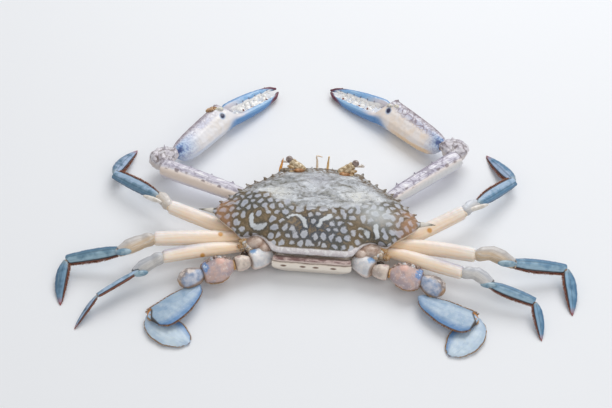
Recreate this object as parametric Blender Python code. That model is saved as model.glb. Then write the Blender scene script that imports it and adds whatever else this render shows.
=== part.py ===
import math

import bmesh
import bpy
from mathutils import Euler, Matrix, Vector

# Blue swimming crab, adult male, life size, resting on a level surface.
# The crab faces +Y, its right side is +X, and the surface is z = 0. The model is laid out in
# millimetres and brought to metres at the very end.
MM = 0.001
GAP = 0.3
FLOOR = 0.0
TIP_Z = 0.15

# Carapace: rear line, middle, rim height and slope, thickness, dome, and its smooth inner oval
REAR_Y = -27.0
CENTRE_Y = 8.0
OVAL = (62.0, 34.0)
RIM_Z = 20.0
RIM_PITCH = 0.05
RIM_THICK = 1.7
DOME = 9.6
UNDER_Z = 13.3
SPINE_TIP_X = 75.0
SPINE_TIP_Y = 2.0

# Corner points of the right half of the carapace rim, front middle to rear middle, (x, y)
RIM = [(0.0, 42.9), (5.0, 42.7), (10.5, 42.4), (13.5, 39.4), (19.0, 38.0), (23.8, 38.6),
       (26.6, 38.2), (31.0, 33.2), (36.0, 29.6), (41.5, 26.0), (46.2, 22.2), (50.8, 17.6),
       (55.6, 12.0), (60.2, 6.6), (62.8, 2.6), (62.2, -1.8), (56.5, -7.2), (50.2, -12.2),
       (45.4, -17.6), (42.6, -16.8), (38.6, -15.0), (34.4, -15.2), (30.4, -17.6), (27.2, -21.4),
       (24.6, -25.6), (20.0, -27.2), (10.0, -27.3)]

# Body underneath and the tail flap
STERNUM_TOP = 12.9
FLAP_THICK = 1.8

# Teeth of the right front side of the carapace: where each tip is, (x, y)
SIDE_TEETH = [(26.6, 41.3), (31.6, 34.9), (36.7, 32.2), (42.2, 28.4), (47.0, 24.8), (51.8, 20.2),
              (56.7, 14.2), (61.7, 8.6)]
FRONT_TEETH = [(2.1, 44.6, 1.0), (6.6, 45.4, 1.5), (11.2, 44.9, 1.5)]

# Cross-sections of the limb pieces. Each row is a place along the piece from 0 to 1, then how
# far the section reaches to the front, back, top and bottom of the piece's own axis, in mm.
SECTIONS = {
    "walk_merus": [(0.00, 1.6, 1.6, 1.4, 1.4), (0.03, 2.5, 2.5, 2.1, 2.1),
                   (0.30, 2.9, 3.1, 2.3, 2.3), (0.45, 4.0, 4.4, 2.6, 2.5),
                   (0.65, 4.5, 4.8, 2.8, 2.6), (0.90, 4.3, 4.8, 2.7, 2.5),
                   (1.00, 3.9, 4.5, 2.5, 2.4)],
    "walk_carpus": [(0.00, 1.5, 1.5, 1.2, 1.2), (0.12, 3.2, 2.7, 2.0, 1.9),
                    (0.50, 5.8, 3.8, 2.7, 2.3), (0.85, 6.2, 4.0, 2.7, 2.3),
                    (1.10, 5.2, 3.7, 2.3, 2.2), (1.32, 2.6, 2.2, 1.5, 1.4)],
    "walk_propodus": [(0.00, 1.4, 1.4, 1.1, 1.1), (0.06, 2.6, 2.6, 1.7, 1.7),
                      (0.30, 4.3, 4.1, 2.0, 2.0), (0.75, 4.3, 4.0, 1.9, 1.9),
                      (1.00, 3.3, 3.3, 1.6, 1.6)],
    "walk_dactyl": [(0.00, 1.3, 1.3, 1.0, 1.0), (0.06, 2.6, 2.6, 1.4, 1.4),
                    (0.25, 4.2, 4.2, 1.7, 1.7), (0.60, 3.7, 3.6, 1.5, 1.5),
                    (0.85, 2.0, 1.9, 1.0, 1.0), (1.00, 0.4, 0.4, 0.4, 0.4)],
    "claw_ischium": [(0.00, 2.2, 2.2, 2.0, 2.0), (0.12, 3.4, 3.4, 3.0, 3.0),
                     (0.70, 4.0, 4.0, 3.4, 3.4), (1.00, 4.0, 4.0, 3.5, 3.5)],
    "claw_merus": [(-0.05, 2.1, 2.1, 2.0, 2.0), (0.00, 3.5, 3.5, 3.2, 3.2),
                   (0.20, 4.9, 4.8, 4.2, 4.4), (0.60, 5.4, 5.2, 4.9, 5.0),
                   (0.92, 5.6, 5.4, 5.0, 5.1), (1.00, 5.0, 5.0, 4.6, 4.7)],
    "claw_carpus": [(-0.14, 1.5, 1.5, 1.5, 1.5), (0.00, 3.6, 6.2, 3.6, 3.6),
                    (0.20, 4.6, 11.0, 4.8, 4.6), (0.50, 4.8, 12.4, 5.6, 5.0),
                    (0.80, 4.8, 10.0, 5.4, 5.0), (1.00, 4.4, 5.6, 4.8, 4.6)],
    "claw_dactyl": [(0.00, 1.6, 1.6, 1.6, 1.6), (0.05, 3.0, 3.4, 2.8, 2.6),
                    (0.20, 3.6, 3.9, 3.2, 3.1), (0.55, 3.2, 3.3, 2.8, 2.7),
                    (0.85, 1.9, 2.0, 1.8, 1.8), (1.00, 0.4, 0.4, 0.4, 0.4)],
    "swim_coxa": [(0.00, 2.2, 2.2, 2.0, 2.0), (0.15, 4.2, 4.2, 3.4, 3.6),
                  (0.60, 5.6, 5.6, 5.2, 5.4), (0.90, 5.2, 5.2, 5.0, 5.0),
                  (1.00, 4.6, 4.6, 4.4, 4.4)],
    "swim_basis": [(0.00, 1.8, 1.8, 1.8, 1.8), (0.12, 3.0, 3.0, 3.0, 3.0),
                   (0.60, 4.3, 4.3, 4.3, 4.0), (1.00, 4.2, 4.2, 4.2, 4.0)],
    "swim_merus": [(0.00, 1.8, 1.8, 1.8, 1.8), (0.06, 3.2, 3.2, 3.0, 3.0),
                   (0.40, 7.6, 8.6, 5.8, 5.4), (0.75, 7.8, 9.0, 5.6, 5.2),
                   (1.00, 5.4, 6.2, 4.4, 4.2)],
    "swim_carpus": [(-0.05, 1.6, 1.6, 1.4, 1.4), (0.06, 3.6, 3.6, 2.6, 2.6),
                    (0.45, 6.4, 6.6, 4.0, 3.6), (0.80, 5.6, 6.0, 3.6, 3.2),
                    (1.00, 1.8, 1.8, 1.4, 1.4)],
    "swim_propodus": [(-0.22, -1.0, 2.0, 0.6, 0.6), (-0.17, 0.8, 5.6, 1.2, 1.2),
                      (-0.06, 1.8, 9.0, 1.5, 1.5), (0.15, 2.2, 12.4, 1.7, 1.7),
                      (0.42, 2.8, 15.2, 1.7, 1.7), (0.70, 2.5, 16.8, 1.6, 1.6),
                      (0.92, 1.9, 15.4, 1.3, 1.3), (1.04, 1.0, 11.8, 1.0, 1.0),
                      (1.10, -2.0, 7.0, 0.5, 0.5)],
    "swim_dactyl": [(-0.04, 1.2, -0.2, 0.5, 0.5), (0.02, 5.4, 3.0, 0.9, 0.9),
                    (0.14, 9.2, 6.0, 1.2, 1.2), (0.40, 11.8, 8.0, 1.3, 1.3),
                    (0.66, 10.8, 7.4, 1.2, 1.2), (0.88, 6.6, 4.4, 0.9, 0.9),
                    (0.98, 1.2, 0.8, 0.5, 0.5)],
    "maxilliped": [(0.00, 2.2, 2.2, 0.9, 0.9), (0.12, 4.2, 4.0, 1.5, 1.5),
                   (0.60, 4.6, 4.2, 1.5, 1.5), (0.90, 3.4, 3.0, 1.3, 1.3),
                   (1.00, 1.6, 1.4, 0.8, 0.8)],
}

# Number of section points, how boxy the section is (2 is an ellipse) and number of rings
STYLE = {
    "walk_merus": (10, 2.2, 14), "walk_carpus": (10, 2.2, 6), "walk_propodus": (10, 1.7, 9),
    "walk_dactyl": (10, 1.7, 11), "claw_ischium": (10, 2.4, 6), "claw_merus": (12, 3.0, 9),
    "claw_carpus": (12, 2.4, 9), "claw_dactyl": (10, 2.2, 12), "swim_coxa": (10, 2.3, 7),
    "swim_basis": (10, 2.2, 5), "swim_merus": (12, 2.2, 9), "swim_carpus": (12, 2.2, 8),
    "swim_propodus": (12, 1.7, 14), "swim_dactyl": (12, 1.7, 12), "maxilliped": (10, 2.4, 7),
}

# Limbs. "start" is the root joint. A segment row is its name, its kind, its length, then for
# the right and left side its heading, pitch and roll in degrees, then a width factor.
# Headings turn from straight outward toward the front; a bow shifts the middle sideways.
LIMBS = {
    "claw": {
        "start": {"r": (25.6, 11.4, 7.6), "l": (-25.6, 11.4, 7.6)},
        "rows": [("ischium", "claw_ischium", None, None, None, 1.0),
                 ("merus", "claw_merus", 61.3, (43.4, 1.8, 12), (18.7, 2.6, 12), 1.07),
                 ("carpus", "claw_carpus", 15.4, (124.0, 0.5, 0), (103.5, 1.5, 0), 1.0)],
        "merus_at": {"r": (41.6, 28.8, 10.4), "l": (-45.3, 24.2, 10.4)},
    },
    "walk1": {
        "start": {"r": (25.6, 0.6, 8.6), "l": (-25.6, 0.6, 8.6)},
        "rows": [("merus", "walk_merus", 68.0, (15.6, 7.0, 18), (5.8, 5.6, 18), 1.0),
                 ("carpus", "walk_carpus", 10.9, (46.0, -6.0, 20), (46.0, -3.0, 20), 0.78),
                 ("propodus", "walk_propodus", 40.6, (51.0, -10.5, 24), (33.0, -6.0, 24), 1.0),
                 ("dactyl", "walk_dactyl", 37.0, (118.0, None, -12), (102.0, None, -12), 1.0)],
        "bow": {"merus": (-12.0, -8.0), "dactyl": (-0.4, -1.4)},
    },
    "walk2": {
        "start": {"r": (25.6, -7.4, 8.4), "l": (-25.6, -7.4, 8.4)},
        "rows": [("merus", "walk_merus", 73.6, (-8.4, 7.0, 18), (-10.6, 5.2, 18), 1.0),
                 ("carpus", "walk_carpus", 18.3, (-11.0, -3.0, 20), (-39.0, 2.0, 20), 1.0),
                 ("propodus", "walk_propodus", 38.0, (8.5, -12.0, 24), (-7.0, -12.0, 24), 1.0),
                 ("dactyl", "walk_dactyl", 30.8, (-85.0, None, -12), (-95.5, None, -12), 1.0)],
        "bow": {"merus": (2.0, 0.6), "carpus": (2.6, 0.0), "dactyl": (1.2, 1.4)},
    },
    "walk3": {
        "start": {"r": (25.0, -15.2, 8.4), "l": (-25.0, -15.2, 8.4)},
        "rows": [("merus", "walk_merus", 68.0, (-14.9, 7.0, 16), (-17.0, 5.4, 16), 0.92),
                 ("carpus", "walk_carpus", 15.2, (-18.0, -10.0, 18), (-35.0, -16.0, 18), 0.88),
                 ("propodus", "walk_propodus", 29.4, (-14.0, -10.0, 22), (-42.5, -4.8, -30), 0.86),
                 ("dactyl", "walk_dactyl", 24.2, (-80.0, None, -10), (-63.0, None, -38), 0.76)],
        "bow": {"merus": (5.0, 2.4), "carpus": (2.2, -0.4), "dactyl": (0.8, 1.2)},
    },
    "swim": {
        "start": {"r": (24.6, -21.6, 9.8), "l": (-24.6, -21.6, 9.8)},
        "rows": [("coxa", "swim_coxa", 14.6, (-34.0, 2.5, 0), (-32.0, 2.5, 0), 1.0),
                 ("basis", "swim_basis", 9.6, (-8.0, 0.0, 0), (-24.0, 0.0, 0), 1.0),
                 ("merus", "swim_merus", 20.0, (-8.0, -2.0, 10), (-24.0, -2.6, 10), 1.0),
                 ("carpus", "swim_carpus", 15.0, (-30.0, -6.0, 8), (-28.0, -6.0, 8), 1.0)],
    },
}

# Paddles of the swimming legs: root joint, heading and pitch of the two plates
PADDLES = {
    "r": {"propodus": ((70.9, -45.2, 6.6), -18.8, -1.5), "dactyl": ((99.6, -55.2, 2.6), -121.0, -2.6)},
    "l": {"propodus": ((-70.4, -50.6, 6.6), -43.2, -1.5), "dactyl": ((-91.4, -70.4, 2.6), -147.0, -2.6)},
}
PROPODUS_LENGTH = 29.0
DACTYL_LENGTH = 32.5

# Claw hands: the hand leans so that its lower edge is near the floor. For each side the heading of
# the palm, its shift toward the lower edge and its depth below the axis, the reach to the tip, where
# the fixed finger starts and how far it turns (rise per mm), and the moving finger's turn in degrees
PALM_LENGTH = 51.0
PALM_PITCH = -1.4
PALM_ROLL = -28.0
PALM = {"r": {"heading": 137.0, "shift": 0.3, "deep": 1.06, "reach": 97.6, "gape": 9.8,
              "slope": 0.125, "finger": 15.0},
        "l": {"heading": 119.5, "shift": 1.9, "deep": 0.96, "reach": 98.6, "gape": 9.8,
              "slope": 0.160, "finger": 13.0}}
FINGER_LENGTH = 49.0
FINGER_ROOT = (52.0, -1.6)

COLOURS = {
    "shell": (0.24, 0.23, 0.22), "under": (0.72, 0.66, 0.60), "lilac": (0.55, 0.54, 0.66),
    "cream": (0.80, 0.66, 0.52), "blue": (0.20, 0.38, 0.60), "eye": (0.16, 0.12, 0.12),
    "amber": (0.60, 0.40, 0.20), "paddle": (0.36, 0.52, 0.72),
}


def catmull(rows, place):
    """Row of values at a place along keyed rows, on a smooth curve through the rows."""
    last = len(rows) - 1
    if place <= rows[0][0]:
        return rows[0][1:]
    if place >= rows[last][0]:
        return rows[last][1:]
    index = max(i for i in range(last) if rows[i][0] <= place)
    before, first = rows[max(index - 1, 0)], rows[index]
    second, after = rows[index + 1], rows[min(index + 2, last)]
    span = second[0] - first[0]
    share = (place - first[0]) / span
    values = []
    for k in range(1, len(first)):
        start_slope = (second[k] - before[k]) / (second[0] - before[0]) * span
        end_slope = (after[k] - first[k]) / (after[0] - first[0]) * span
        square, cube = share * share, share * share * share
        values.append((2 * cube - 3 * square + 1) * first[k] + (cube - 2 * square + share) * start_slope
                      + (3 * square - 2 * cube) * second[k] + (cube - square) * end_slope)
    return values


def soft_corner(place, corner=0.35, softness=0.08):
    """A bend line that rises evenly to 1 at the corner and falls evenly to 0 at the end."""
    rise = place / corner
    fall = (1.0 - place) / (1.0 - corner)
    return -softness * math.log(math.exp(-rise / softness) + math.exp(-fall / softness))


def section(x, front, back, top, bottom, sides, power):
    """One closed section across the X axis, from a super-ellipse between its four edges."""
    middle_y, half_y = (front - back) / 2, (front + back) / 2
    middle_z, half_z = (top - bottom) / 2, (top + bottom) / 2
    points = []
    for i in range(sides):
        angle = 2 * math.pi * i / sides
        c, s = math.cos(angle), math.sin(angle)
        y = middle_y + half_y * math.copysign(abs(c) ** (2 / power), c)
        z = middle_z + half_z * math.copysign(abs(s) ** (2 / power), s)
        points.append(Vector((x, y, z)))
    return points


def material(name, colour, roughness=0.4):
    """A plain surface for one object."""
    finish = bpy.data.materials.new(name)
    finish.use_nodes = True
    shader = finish.node_tree.nodes["Principled BSDF"]
    shader.inputs["Base Color"].default_value = (*colour, 1.0)
    shader.inputs["Roughness"].default_value = roughness
    return finish


def add_object(name, points, faces, colour):
    """An object from points and faces, its faces turned outward and shaded smooth."""
    mesh = bpy.data.meshes.new(name)
    mesh.from_pydata(points, [], faces)
    body = bmesh.new()
    body.from_mesh(mesh)
    bmesh.ops.recalc_face_normals(body, faces=body.faces)
    body.to_mesh(mesh)
    body.free()
    mesh.shade_smooth()
    mesh.materials.append(material(name, COLOURS[colour]))
    item = bpy.data.objects.new(name, mesh)
    bpy.context.scene.collection.objects.link(item)
    return item


def skin(rings):
    """Points and faces of a closed tube through equal rings, with a flat face at each end."""
    sides = len(rings[0])
    points = [tuple(point) for ring in rings for point in ring]
    faces = [tuple(range(sides))]
    for level in range(len(rings) - 1):
        for i in range(sides):
            a, b = level * sides + i, level * sides + (i + 1) % sides
            faces.append((a, b, b + sides, a + sides))
    faces.append(tuple(range((len(rings) - 1) * sides, len(rings) * sides)))
    return points, faces


def press_flat(item):
    """Push what would reach below the surface up to it, so that it stands on a flat."""
    bpy.context.view_layer.update()
    inverse = item.matrix_world.inverted()
    for vertex in item.data.vertices:
        world = item.matrix_world @ vertex.co
        if world.z < FLOOR:
            vertex.co = inverse @ Vector((world.x, world.y, FLOOR))


def place_at(item, start, pose, side):
    """Set an object at its root, with its heading, pitch and roll, mirrored on the left."""
    heading, pitch, roll = pose
    turn = heading if side == "r" else 180 - heading
    item.location = start
    item.rotation_euler = Euler((math.radians(roll if side == "r" else -roll), math.radians(-pitch),
                                 math.radians(turn)))


def limb_piece(name, kind, length, start, pose, side, colour, width=1.0, bow=0.0):
    """One piece of a limb along its own X axis, placed at its joint and mirrored on the left."""
    sides, power, count = STYLE[kind]
    rows = SECTIONS[kind]
    mirror = 1 if side == "r" else -1
    first, last = rows[0][0], rows[-1][0]
    rings = []
    for i in range(count):
        place = first + (last - first) * (1 - math.cos(math.pi * i / (count - 1))) / 2
        front, back, top, bottom = (value * width for value in catmull(rows, place))
        shift = bow * (soft_corner(place) if abs(bow) > 4 else math.sin(math.pi * min(max(place, 0), 1)))
        ring = section(place * length, front + shift, back - shift, top, bottom, sides, power)
        rings.append([Vector((p.x, p.y * mirror, p.z)) for p in ring])
    points, faces = skin(rings)
    item = add_object(name, points, faces, colour)
    place_at(item, start, pose, side)
    return item


def reach(start, length, heading, pitch, side):
    """Where a piece of this length, heading and pitch ends."""
    turn = math.radians(heading if side == "r" else 180 - heading)
    level = length * math.cos(math.radians(pitch))
    return Vector(start) + Vector((level * math.cos(turn), level * math.sin(turn),
                                   length * math.sin(math.radians(pitch))))


def cone(tip, root, radius, flatten=1.0, sides=6):
    """Points and faces of a spine with its root sunk in its piece."""
    tip, root = Vector(tip), Vector(root)
    axis = (tip - root).normalized()
    across = axis.cross(Vector((0, 0, 1)))
    across = across.normalized() if across.length > 0.01 else Vector((1, 0, 0))
    upward = across.cross(axis).normalized()
    points = []
    for i in range(sides):
        angle = 2 * math.pi * (i + 0.5) / sides
        points.append(root + across * radius * math.cos(angle)
                      + upward * radius * flatten * math.sin(angle))
    points.append(tip)
    faces = [tuple(range(sides))] + [(i, (i + 1) % sides, sides) for i in range(sides)]
    return [tuple(point) for point in points], faces


def settle(item):
    """Replace an object's mesh by what its modifiers make of it."""
    graph = bpy.context.evaluated_depsgraph_get()
    made = bpy.data.meshes.new_from_object(item.evaluated_get(graph))
    finish = item.data.materials[0]
    item.modifiers.clear()
    item.data = made
    made.materials.clear()
    made.materials.append(finish)


def keep_largest(item):
    """Keep the largest closed surface of an object and close up tiny edges."""
    body = bmesh.new()
    body.from_mesh(item.data)
    bmesh.ops.remove_doubles(body, verts=body.verts, dist=0.004)
    bmesh.ops.triangulate(body, faces=body.faces)
    body.faces.ensure_lookup_table()
    seen, groups = set(), []
    for face in body.faces:
        if face in seen:
            continue
        group, queue = [], [face]
        seen.add(face)
        while queue:
            current = queue.pop()
            group.append(current)
            for edge in current.edges:
                for other in edge.link_faces:
                    if other not in seen:
                        seen.add(other)
                        queue.append(other)
        groups.append(group)
    groups.sort(key=lambda group: sum(face.calc_area() for face in group))
    spare = [face for group in groups[:-1] for face in group]
    bmesh.ops.delete(body, geom=spare, context="FACES")
    body.to_mesh(item.data)
    body.free()


def fuse(item, spikes, solver="EXACT"):
    """Union of an object with a list of spikes, in one step."""
    group = bpy.data.collections.new(item.name + "_spikes")
    bpy.context.scene.collection.children.link(group)
    for number, (points, faces) in enumerate(spikes):
        spike = add_object(f"{item.name}_spike{number}", points, faces, "shell")
        bpy.context.scene.collection.objects.unlink(spike)
        group.objects.link(spike)
        spike.matrix_world = item.matrix_world
    bpy.context.view_layer.update()
    union = item.modifiers.new("spikes", "BOOLEAN")
    union.operation = "UNION"
    union.operand_type = "COLLECTION"
    union.collection = group
    union.solver = solver
    settle(item)
    for spike in list(group.objects):
        bpy.data.objects.remove(spike)
    bpy.data.collections.remove(group)
    keep_largest(item)


def carve(item, neighbour, gap=GAP):
    """Cut a neighbour's shape, swollen by the joint gap, out of an object."""
    cutter = neighbour.copy()
    cutter.data = neighbour.data.copy()
    bpy.context.scene.collection.objects.link(cutter)
    moved = [vertex.co + vertex.normal * gap * 1.15 for vertex in cutter.data.vertices]
    for vertex, place in zip(cutter.data.vertices, moved):
        vertex.co = place
    bpy.context.view_layer.update()
    cut = item.modifiers.new("socket", "BOOLEAN")
    cut.operation = "DIFFERENCE"
    cut.object = cutter
    cut.solver = "EXACT"
    settle(item)
    bpy.data.objects.remove(cutter)
    keep_largest(item)


def rim_height(y):
    """Height of the carapace rim, a little higher at the front."""
    return RIM_Z + RIM_PITCH * (y - 2.0)


def relief(x, y):
    """Swellings and furrows of the carapace's regions, in mm above the plain dome."""
    side = abs(x)
    lift = 1.3 * math.exp(-((side - 13) / 9) ** 2 - ((y - 22) / 9) ** 2)
    lift += 1.7 * math.exp(-((side - 34) / 14) ** 2 - ((y - 1) / 12) ** 2)
    lift += 1.2 * math.exp(-(side / 7) ** 2 - ((y + 4) / 9) ** 2)
    lift -= 1.3 * math.exp(-((side - 11.5) / 4) ** 2 - ((y + 2) / 9) ** 2)
    lift -= 0.9 * math.exp(-((side - 24) / 7) ** 2 - ((y - 13) / 5) ** 2)
    return lift


def inner_point(x, y, share):
    """A point of an inner ring of the carapace: the toothed rim melts into a smooth oval inward."""
    melt = min(max((1.0 - share) / 0.4, 0.0), 1.0)
    melt = melt * melt * (3 - 2 * melt)
    angle = math.atan2((y - CENTRE_Y) / OVAL[1], x / OVAL[0])
    oval_x, oval_y = OVAL[0] * math.cos(angle), OVAL[1] * math.sin(angle)
    return (share * (x * (1 - melt) + oval_x * melt),
            CENTRE_Y + share * ((y - CENTRE_Y) * (1 - melt) + oval_y * melt))


def carapace():
    """The shell of the back: a domed top, a rim with teeth and spines, and a sloping underside."""
    half = RIM + [(0.0, REAR_Y - 0.3)]
    rim = half + [(-x, y) for x, y in reversed(half[1:-1])]
    rings = []
    for share, height, claw_room in ((0.74, UNDER_Z, 0.0), (0.88, 13.8, 1.2), (0.965, 15.2, 2.4)):
        ring = []
        for x, y in rim:
            px, py = x * share, CENTRE_Y + (y - CENTRE_Y) * share
            room = claw_room * math.exp(-((abs(px) - 42) / 18) ** 2 - ((py - 24) / 16) ** 2)
            ring.append(Vector((px, py, height + room)))
        rings.append(ring)
    rings.append([Vector((x, y, rim_height(y) - RIM_THICK * 0.5)) for x, y in rim])
    for share in (1.0, 0.985, 0.94, 0.86, 0.75, 0.62, 0.48, 0.33, 0.17):
        ring = []
        for x, y in rim:
            px, py = inner_point(x, y, share)
            dome = DOME * (1 - share ** 2.3)
            fade = 1 - share ** 4
            ring.append(Vector((px, py, rim_height(py) + RIM_THICK * 0.3 + dome + fade * relief(px, py))))
        rings.append(ring)
    points, faces = skin(rings)
    item = add_object("carapace", points, faces, "shell")
    spikes = []
    for sign in (1, -1):
        for number, (x, y) in enumerate(SIDE_TEETH):
            size = 3.0 if number == 0 else 2.4
            inward = Vector((-x, CENTRE_Y - 8 - y, 0)).normalized() * 6.0
            if number == 0:
                inward = Vector((-2.0, -6.5, 0))
            z = rim_height(y) + 0.2
            root = (sign * (x + inward.x), y + inward.y, z)
            spikes.append(cone((sign * x, y, z + 0.6), root, size, 0.62))
        z = rim_height(SPINE_TIP_Y)
        spikes.append(cone((sign * SPINE_TIP_X, SPINE_TIP_Y, z + 0.2), (sign * 57.5, 1.0, z - 0.1), 3.6, 0.55))
        for x, y, size in FRONT_TEETH:
            z = rim_height(y) - 0.2
            spikes.append(cone((sign * x, y, z), (sign * (x - 0.1), y - 4.4, z), size, 0.8))
    fuse(item, spikes)
    return item


def sternum():
    """The shield underneath, flat below, from which the limbs come."""
    rows = [(-25.0, 17.0, 3.0), (-22.0, 22.0, 1.2), (-12.0, 24.6, 0.0), (4.0, 25.0, 0.0),
            (14.0, 24.0, 0.0), (21.0, 18.0, 0.6), (26.0, 14.5, 2.6), (31.0, 15.0, 8.0), (38.0, 14.0, 10.6)]
    rings = []
    count = 17
    for i in range(count):
        y = rows[0][0] + (rows[-1][0] - rows[0][0]) * i / (count - 1)
        half, low = catmull(rows, y)
        low = max(low, 0.0)
        step = min(4.2, (STERNUM_TOP - low) * 0.4)
        shape = [(half * 0.80, low), (half, low + step), (half, STERNUM_TOP - 0.8),
                 (half - 1.2, STERNUM_TOP)]
        ring = [Vector((x, y, z)) for x, z in shape]
        ring += [Vector((-x, y, z)) for x, z in reversed(shape)]
        rings.append(ring)
    points, faces = skin(rings)
    return add_object("sternum", points, faces, "under")


def abdomen():
    """The tail: wide bands behind the carapace that turn under into a narrow flap."""
    path = [(0.00, -27.6, 15.6, 23.4), (0.12, -29.4, 14.2, 23.8), (0.24, -30.6, 11.6, 24.2),
            (0.36, -30.6, 8.6, 24.0), (0.48, -29.2, 5.6, 21.6), (0.60, -26.6, 2.4, 17.0),
            (0.70, -23.0, 0.9, 11.0), (0.80, -18.0, 0.9, 7.6), (0.90, -12.0, 0.9, 5.4),
            (0.97, -7.6, 0.9, 3.2), (1.00, -5.6, 0.9, 1.6)]
    count = 19
    rings = []
    for i in range(count):
        place = i / (count - 1)
        y, z, half = catmull(path, place)
        ahead = catmull(path, min(place + 0.02, 1.0))
        behind = catmull(path, max(place - 0.02, 0.0))
        along = Vector((0, ahead[0] - behind[0], ahead[1] - behind[1])).normalized()
        outward = along.cross(Vector((1, 0, 0)))
        band = 0.25 * math.cos(math.pi * 2 * place / 0.12) if place < 0.5 else 0.0
        ring = []
        for x, lift in ((-1, 0.25), (-0.85, 1), (-0.3, 1), (0.3, 1), (0.85, 1), (1, 0.25)):
            ring.append(Vector((x * half, y, z)) + outward * (FLAP_THICK / 2 + band) * lift)
        for x, lift in ((1, -0.25), (0.85, -1), (-0.85, -1), (-1, -0.25)):
            ring.append(Vector((x * half, y, z)) + outward * (FLAP_THICK / 2) * lift)
        rings.append(ring)
    points, faces = skin(rings)
    item = add_object("abdomen", points, faces, "under")
    press_flat(item)
    return item


def rod(name, places, radii, colour, sides=8, count=9):
    """A thin round feeler along a smooth line through hand-set points."""
    rows = [(i / (len(places) - 1), *place, radius) for i, (place, radius) in enumerate(zip(places, radii))]
    rings = []
    for i in range(count):
        place = i / (count - 1)
        x, y, z, radius = catmull(rows, place)
        ahead = Vector(catmull(rows, min(place + 0.03, 1.0))[:3])
        behind = Vector(catmull(rows, max(place - 0.03, 0.0))[:3])
        along = (ahead - behind).normalized()
        across = along.cross(Vector((0.31, 0.12, 0.94))).normalized()
        other = along.cross(across)
        rings.append([Vector((x, y, z)) + radius * (across * math.cos(2 * math.pi * k / sides)
                                                    + other * math.sin(2 * math.pi * k / sides))
                      for k in range(sides)])
    points, faces = skin(rings)
    return add_object(name, points, faces, colour)


def globe(name, centre, radius, colour):
    """A round eye."""
    body = bmesh.new()
    bmesh.ops.create_icosphere(body, subdivisions=2, radius=radius)
    mesh = bpy.data.meshes.new(name)
    body.to_mesh(mesh)
    body.free()
    mesh.shade_smooth()
    mesh.materials.append(material(name, COLOURS[colour], 0.15))
    item = bpy.data.objects.new(name, mesh)
    item.location = centre
    bpy.context.scene.collection.objects.link(item)
    return item


def head_pieces():
    """Eyes on their stalks, the feelers between them and the mouth plates."""
    pieces = {}
    for side, sign in (("r", 1), ("l", -1)):
        stalk = [(sign * 11.2, 39.4, 22.6), (sign * 13.8, 40.6, 23.8), (sign * 17.2, 42.2, 25.2),
                 (sign * 19.6, 43.3, 26.4)]
        pieces["eyestalk_" + side] = rod("eyestalk_" + side, stalk, (1.9, 2.3, 2.1, 2.0), "amber", 8, 7)
        pieces["eye_" + side] = globe("eye_" + side, (sign * 21.0, 44.0, 27.4), 2.45, "eye")
        feeler = [(sign * 3.3, 42.6, 20.0), (sign * 3.4, 45.4, 22.4), (sign * 3.6, 47.0, 25.6),
                  (sign * 4.0, 47.2, 29.0)]
        if side == "l":
            feeler.append((-0.2, 47.0, 28.4))
        radii = (1.0, 0.9, 0.7, 0.6, 0.4)[:len(feeler)]
        pieces["antennule_" + side] = rod("antennule_" + side, feeler, radii, "amber", 6, 9)
        long_feeler = [(sign * 9.4, 42.0, 18.6), (sign * 14.0, 46.2, 20.4), (sign * 21.0, 48.0, 21.4),
                       (sign * 26.2, 46.2, 23.2), (sign * 24.6, 43.4, 27.4)]
        pieces["antenna_" + side] = rod("antenna_" + side, long_feeler, (1.2, 1.0, 0.8, 0.8, 0.4), "amber", 6, 9)
        plate_start = (sign * 5.4, 27.8, 4.4)
        pieces["maxilliped_" + side] = limb_piece("maxilliped_" + side, "maxilliped", 13.0, plate_start,
                                                  (86.0, 30.0, 0), side, "under")
    return pieces


def palm(side, start):
    """The hand of a claw: palm, fixed finger and its teeth, along the palm's X axis."""
    pose = PALM[side]
    mirror = 1 if side == "r" else -1
    tip_x = pose["reach"]

    def middle(x):
        """How far the middle line of the fixed finger is from the palm's axis."""
        share = (x - PALM_LENGTH) / (tip_x - PALM_LENGTH)
        return pose["gape"] + pose["slope"] * (x - PALM_LENGTH) + 1.6 * math.sin(math.pi * share)

    rows = []
    for x, low, high, thick in ((0.0, 5.0, 2.6, 2.6), (3.0, 9.0, 4.4, 4.2), (11.0, 11.6, 6.0, 5.8),
                                (30.0, 12.2, 7.2, 6.3), (46.0, 12.4, 7.6, 6.2), (51.5, 12.8, 6.8, 5.3)):
        rows.append((x, low * pose["deep"] + pose["shift"], high - pose["shift"], thick, thick))
    for share, half, tall in ((0.10, 3.9, 3.9), (0.30, 3.4, 3.4), (0.55, 2.9, 3.0), (0.78, 2.1, 2.2),
                              (0.93, 1.2, 1.3), (1.0, 0.4, 0.4)):
        x = PALM_LENGTH + (tip_x - PALM_LENGTH) * share
        rows.append((x, middle(x) + half, half - middle(x), tall, tall))
    places = [0.0, 1.2, 3.0, 7.0, 14.0, 24.0, 35.0, 45.0, 50.0, 52.6, 55.8, 61.0, 68.0, 75.0, 82.0, 89.0]
    places += [tip_x - 5.6, tip_x - 2.4, tip_x]
    rings = []
    for x in places:
        front, back, top, bottom = catmull(rows, x)
        ring = section(x, front, back, top, bottom, 12, 2.6 if x < 52 else 2.2)
        rings.append([Vector((p.x, p.y * mirror, p.z)) for p in ring])
    points, faces = skin(rings)
    item = add_object("claw_palm_" + side, points, faces, "lilac")
    place_at(item, start, (pose["heading"], PALM_PITCH, PALM_ROLL), side)
    press_flat(item)
    spikes = []
    for x, size, tall in finger_teeth(PALM_LENGTH + 8.0, tip_x - 8.0):
        front, back, top, bottom = catmull(rows, x)
        spikes.append(cone((x + 0.5, (-back - tall) * mirror, 0.2), (x, (-back + 1.8) * mirror, 0.0),
                           size, 0.9, 5))
    far = pose["shift"] - 7.4
    spikes.append(cone((49.0, (far - 1.0) * mirror, 4.8), (45.6, (far + 2.4) * mirror, 3.0), 1.4, 1.0, 5))
    fuse(item, spikes)
    return item


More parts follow.
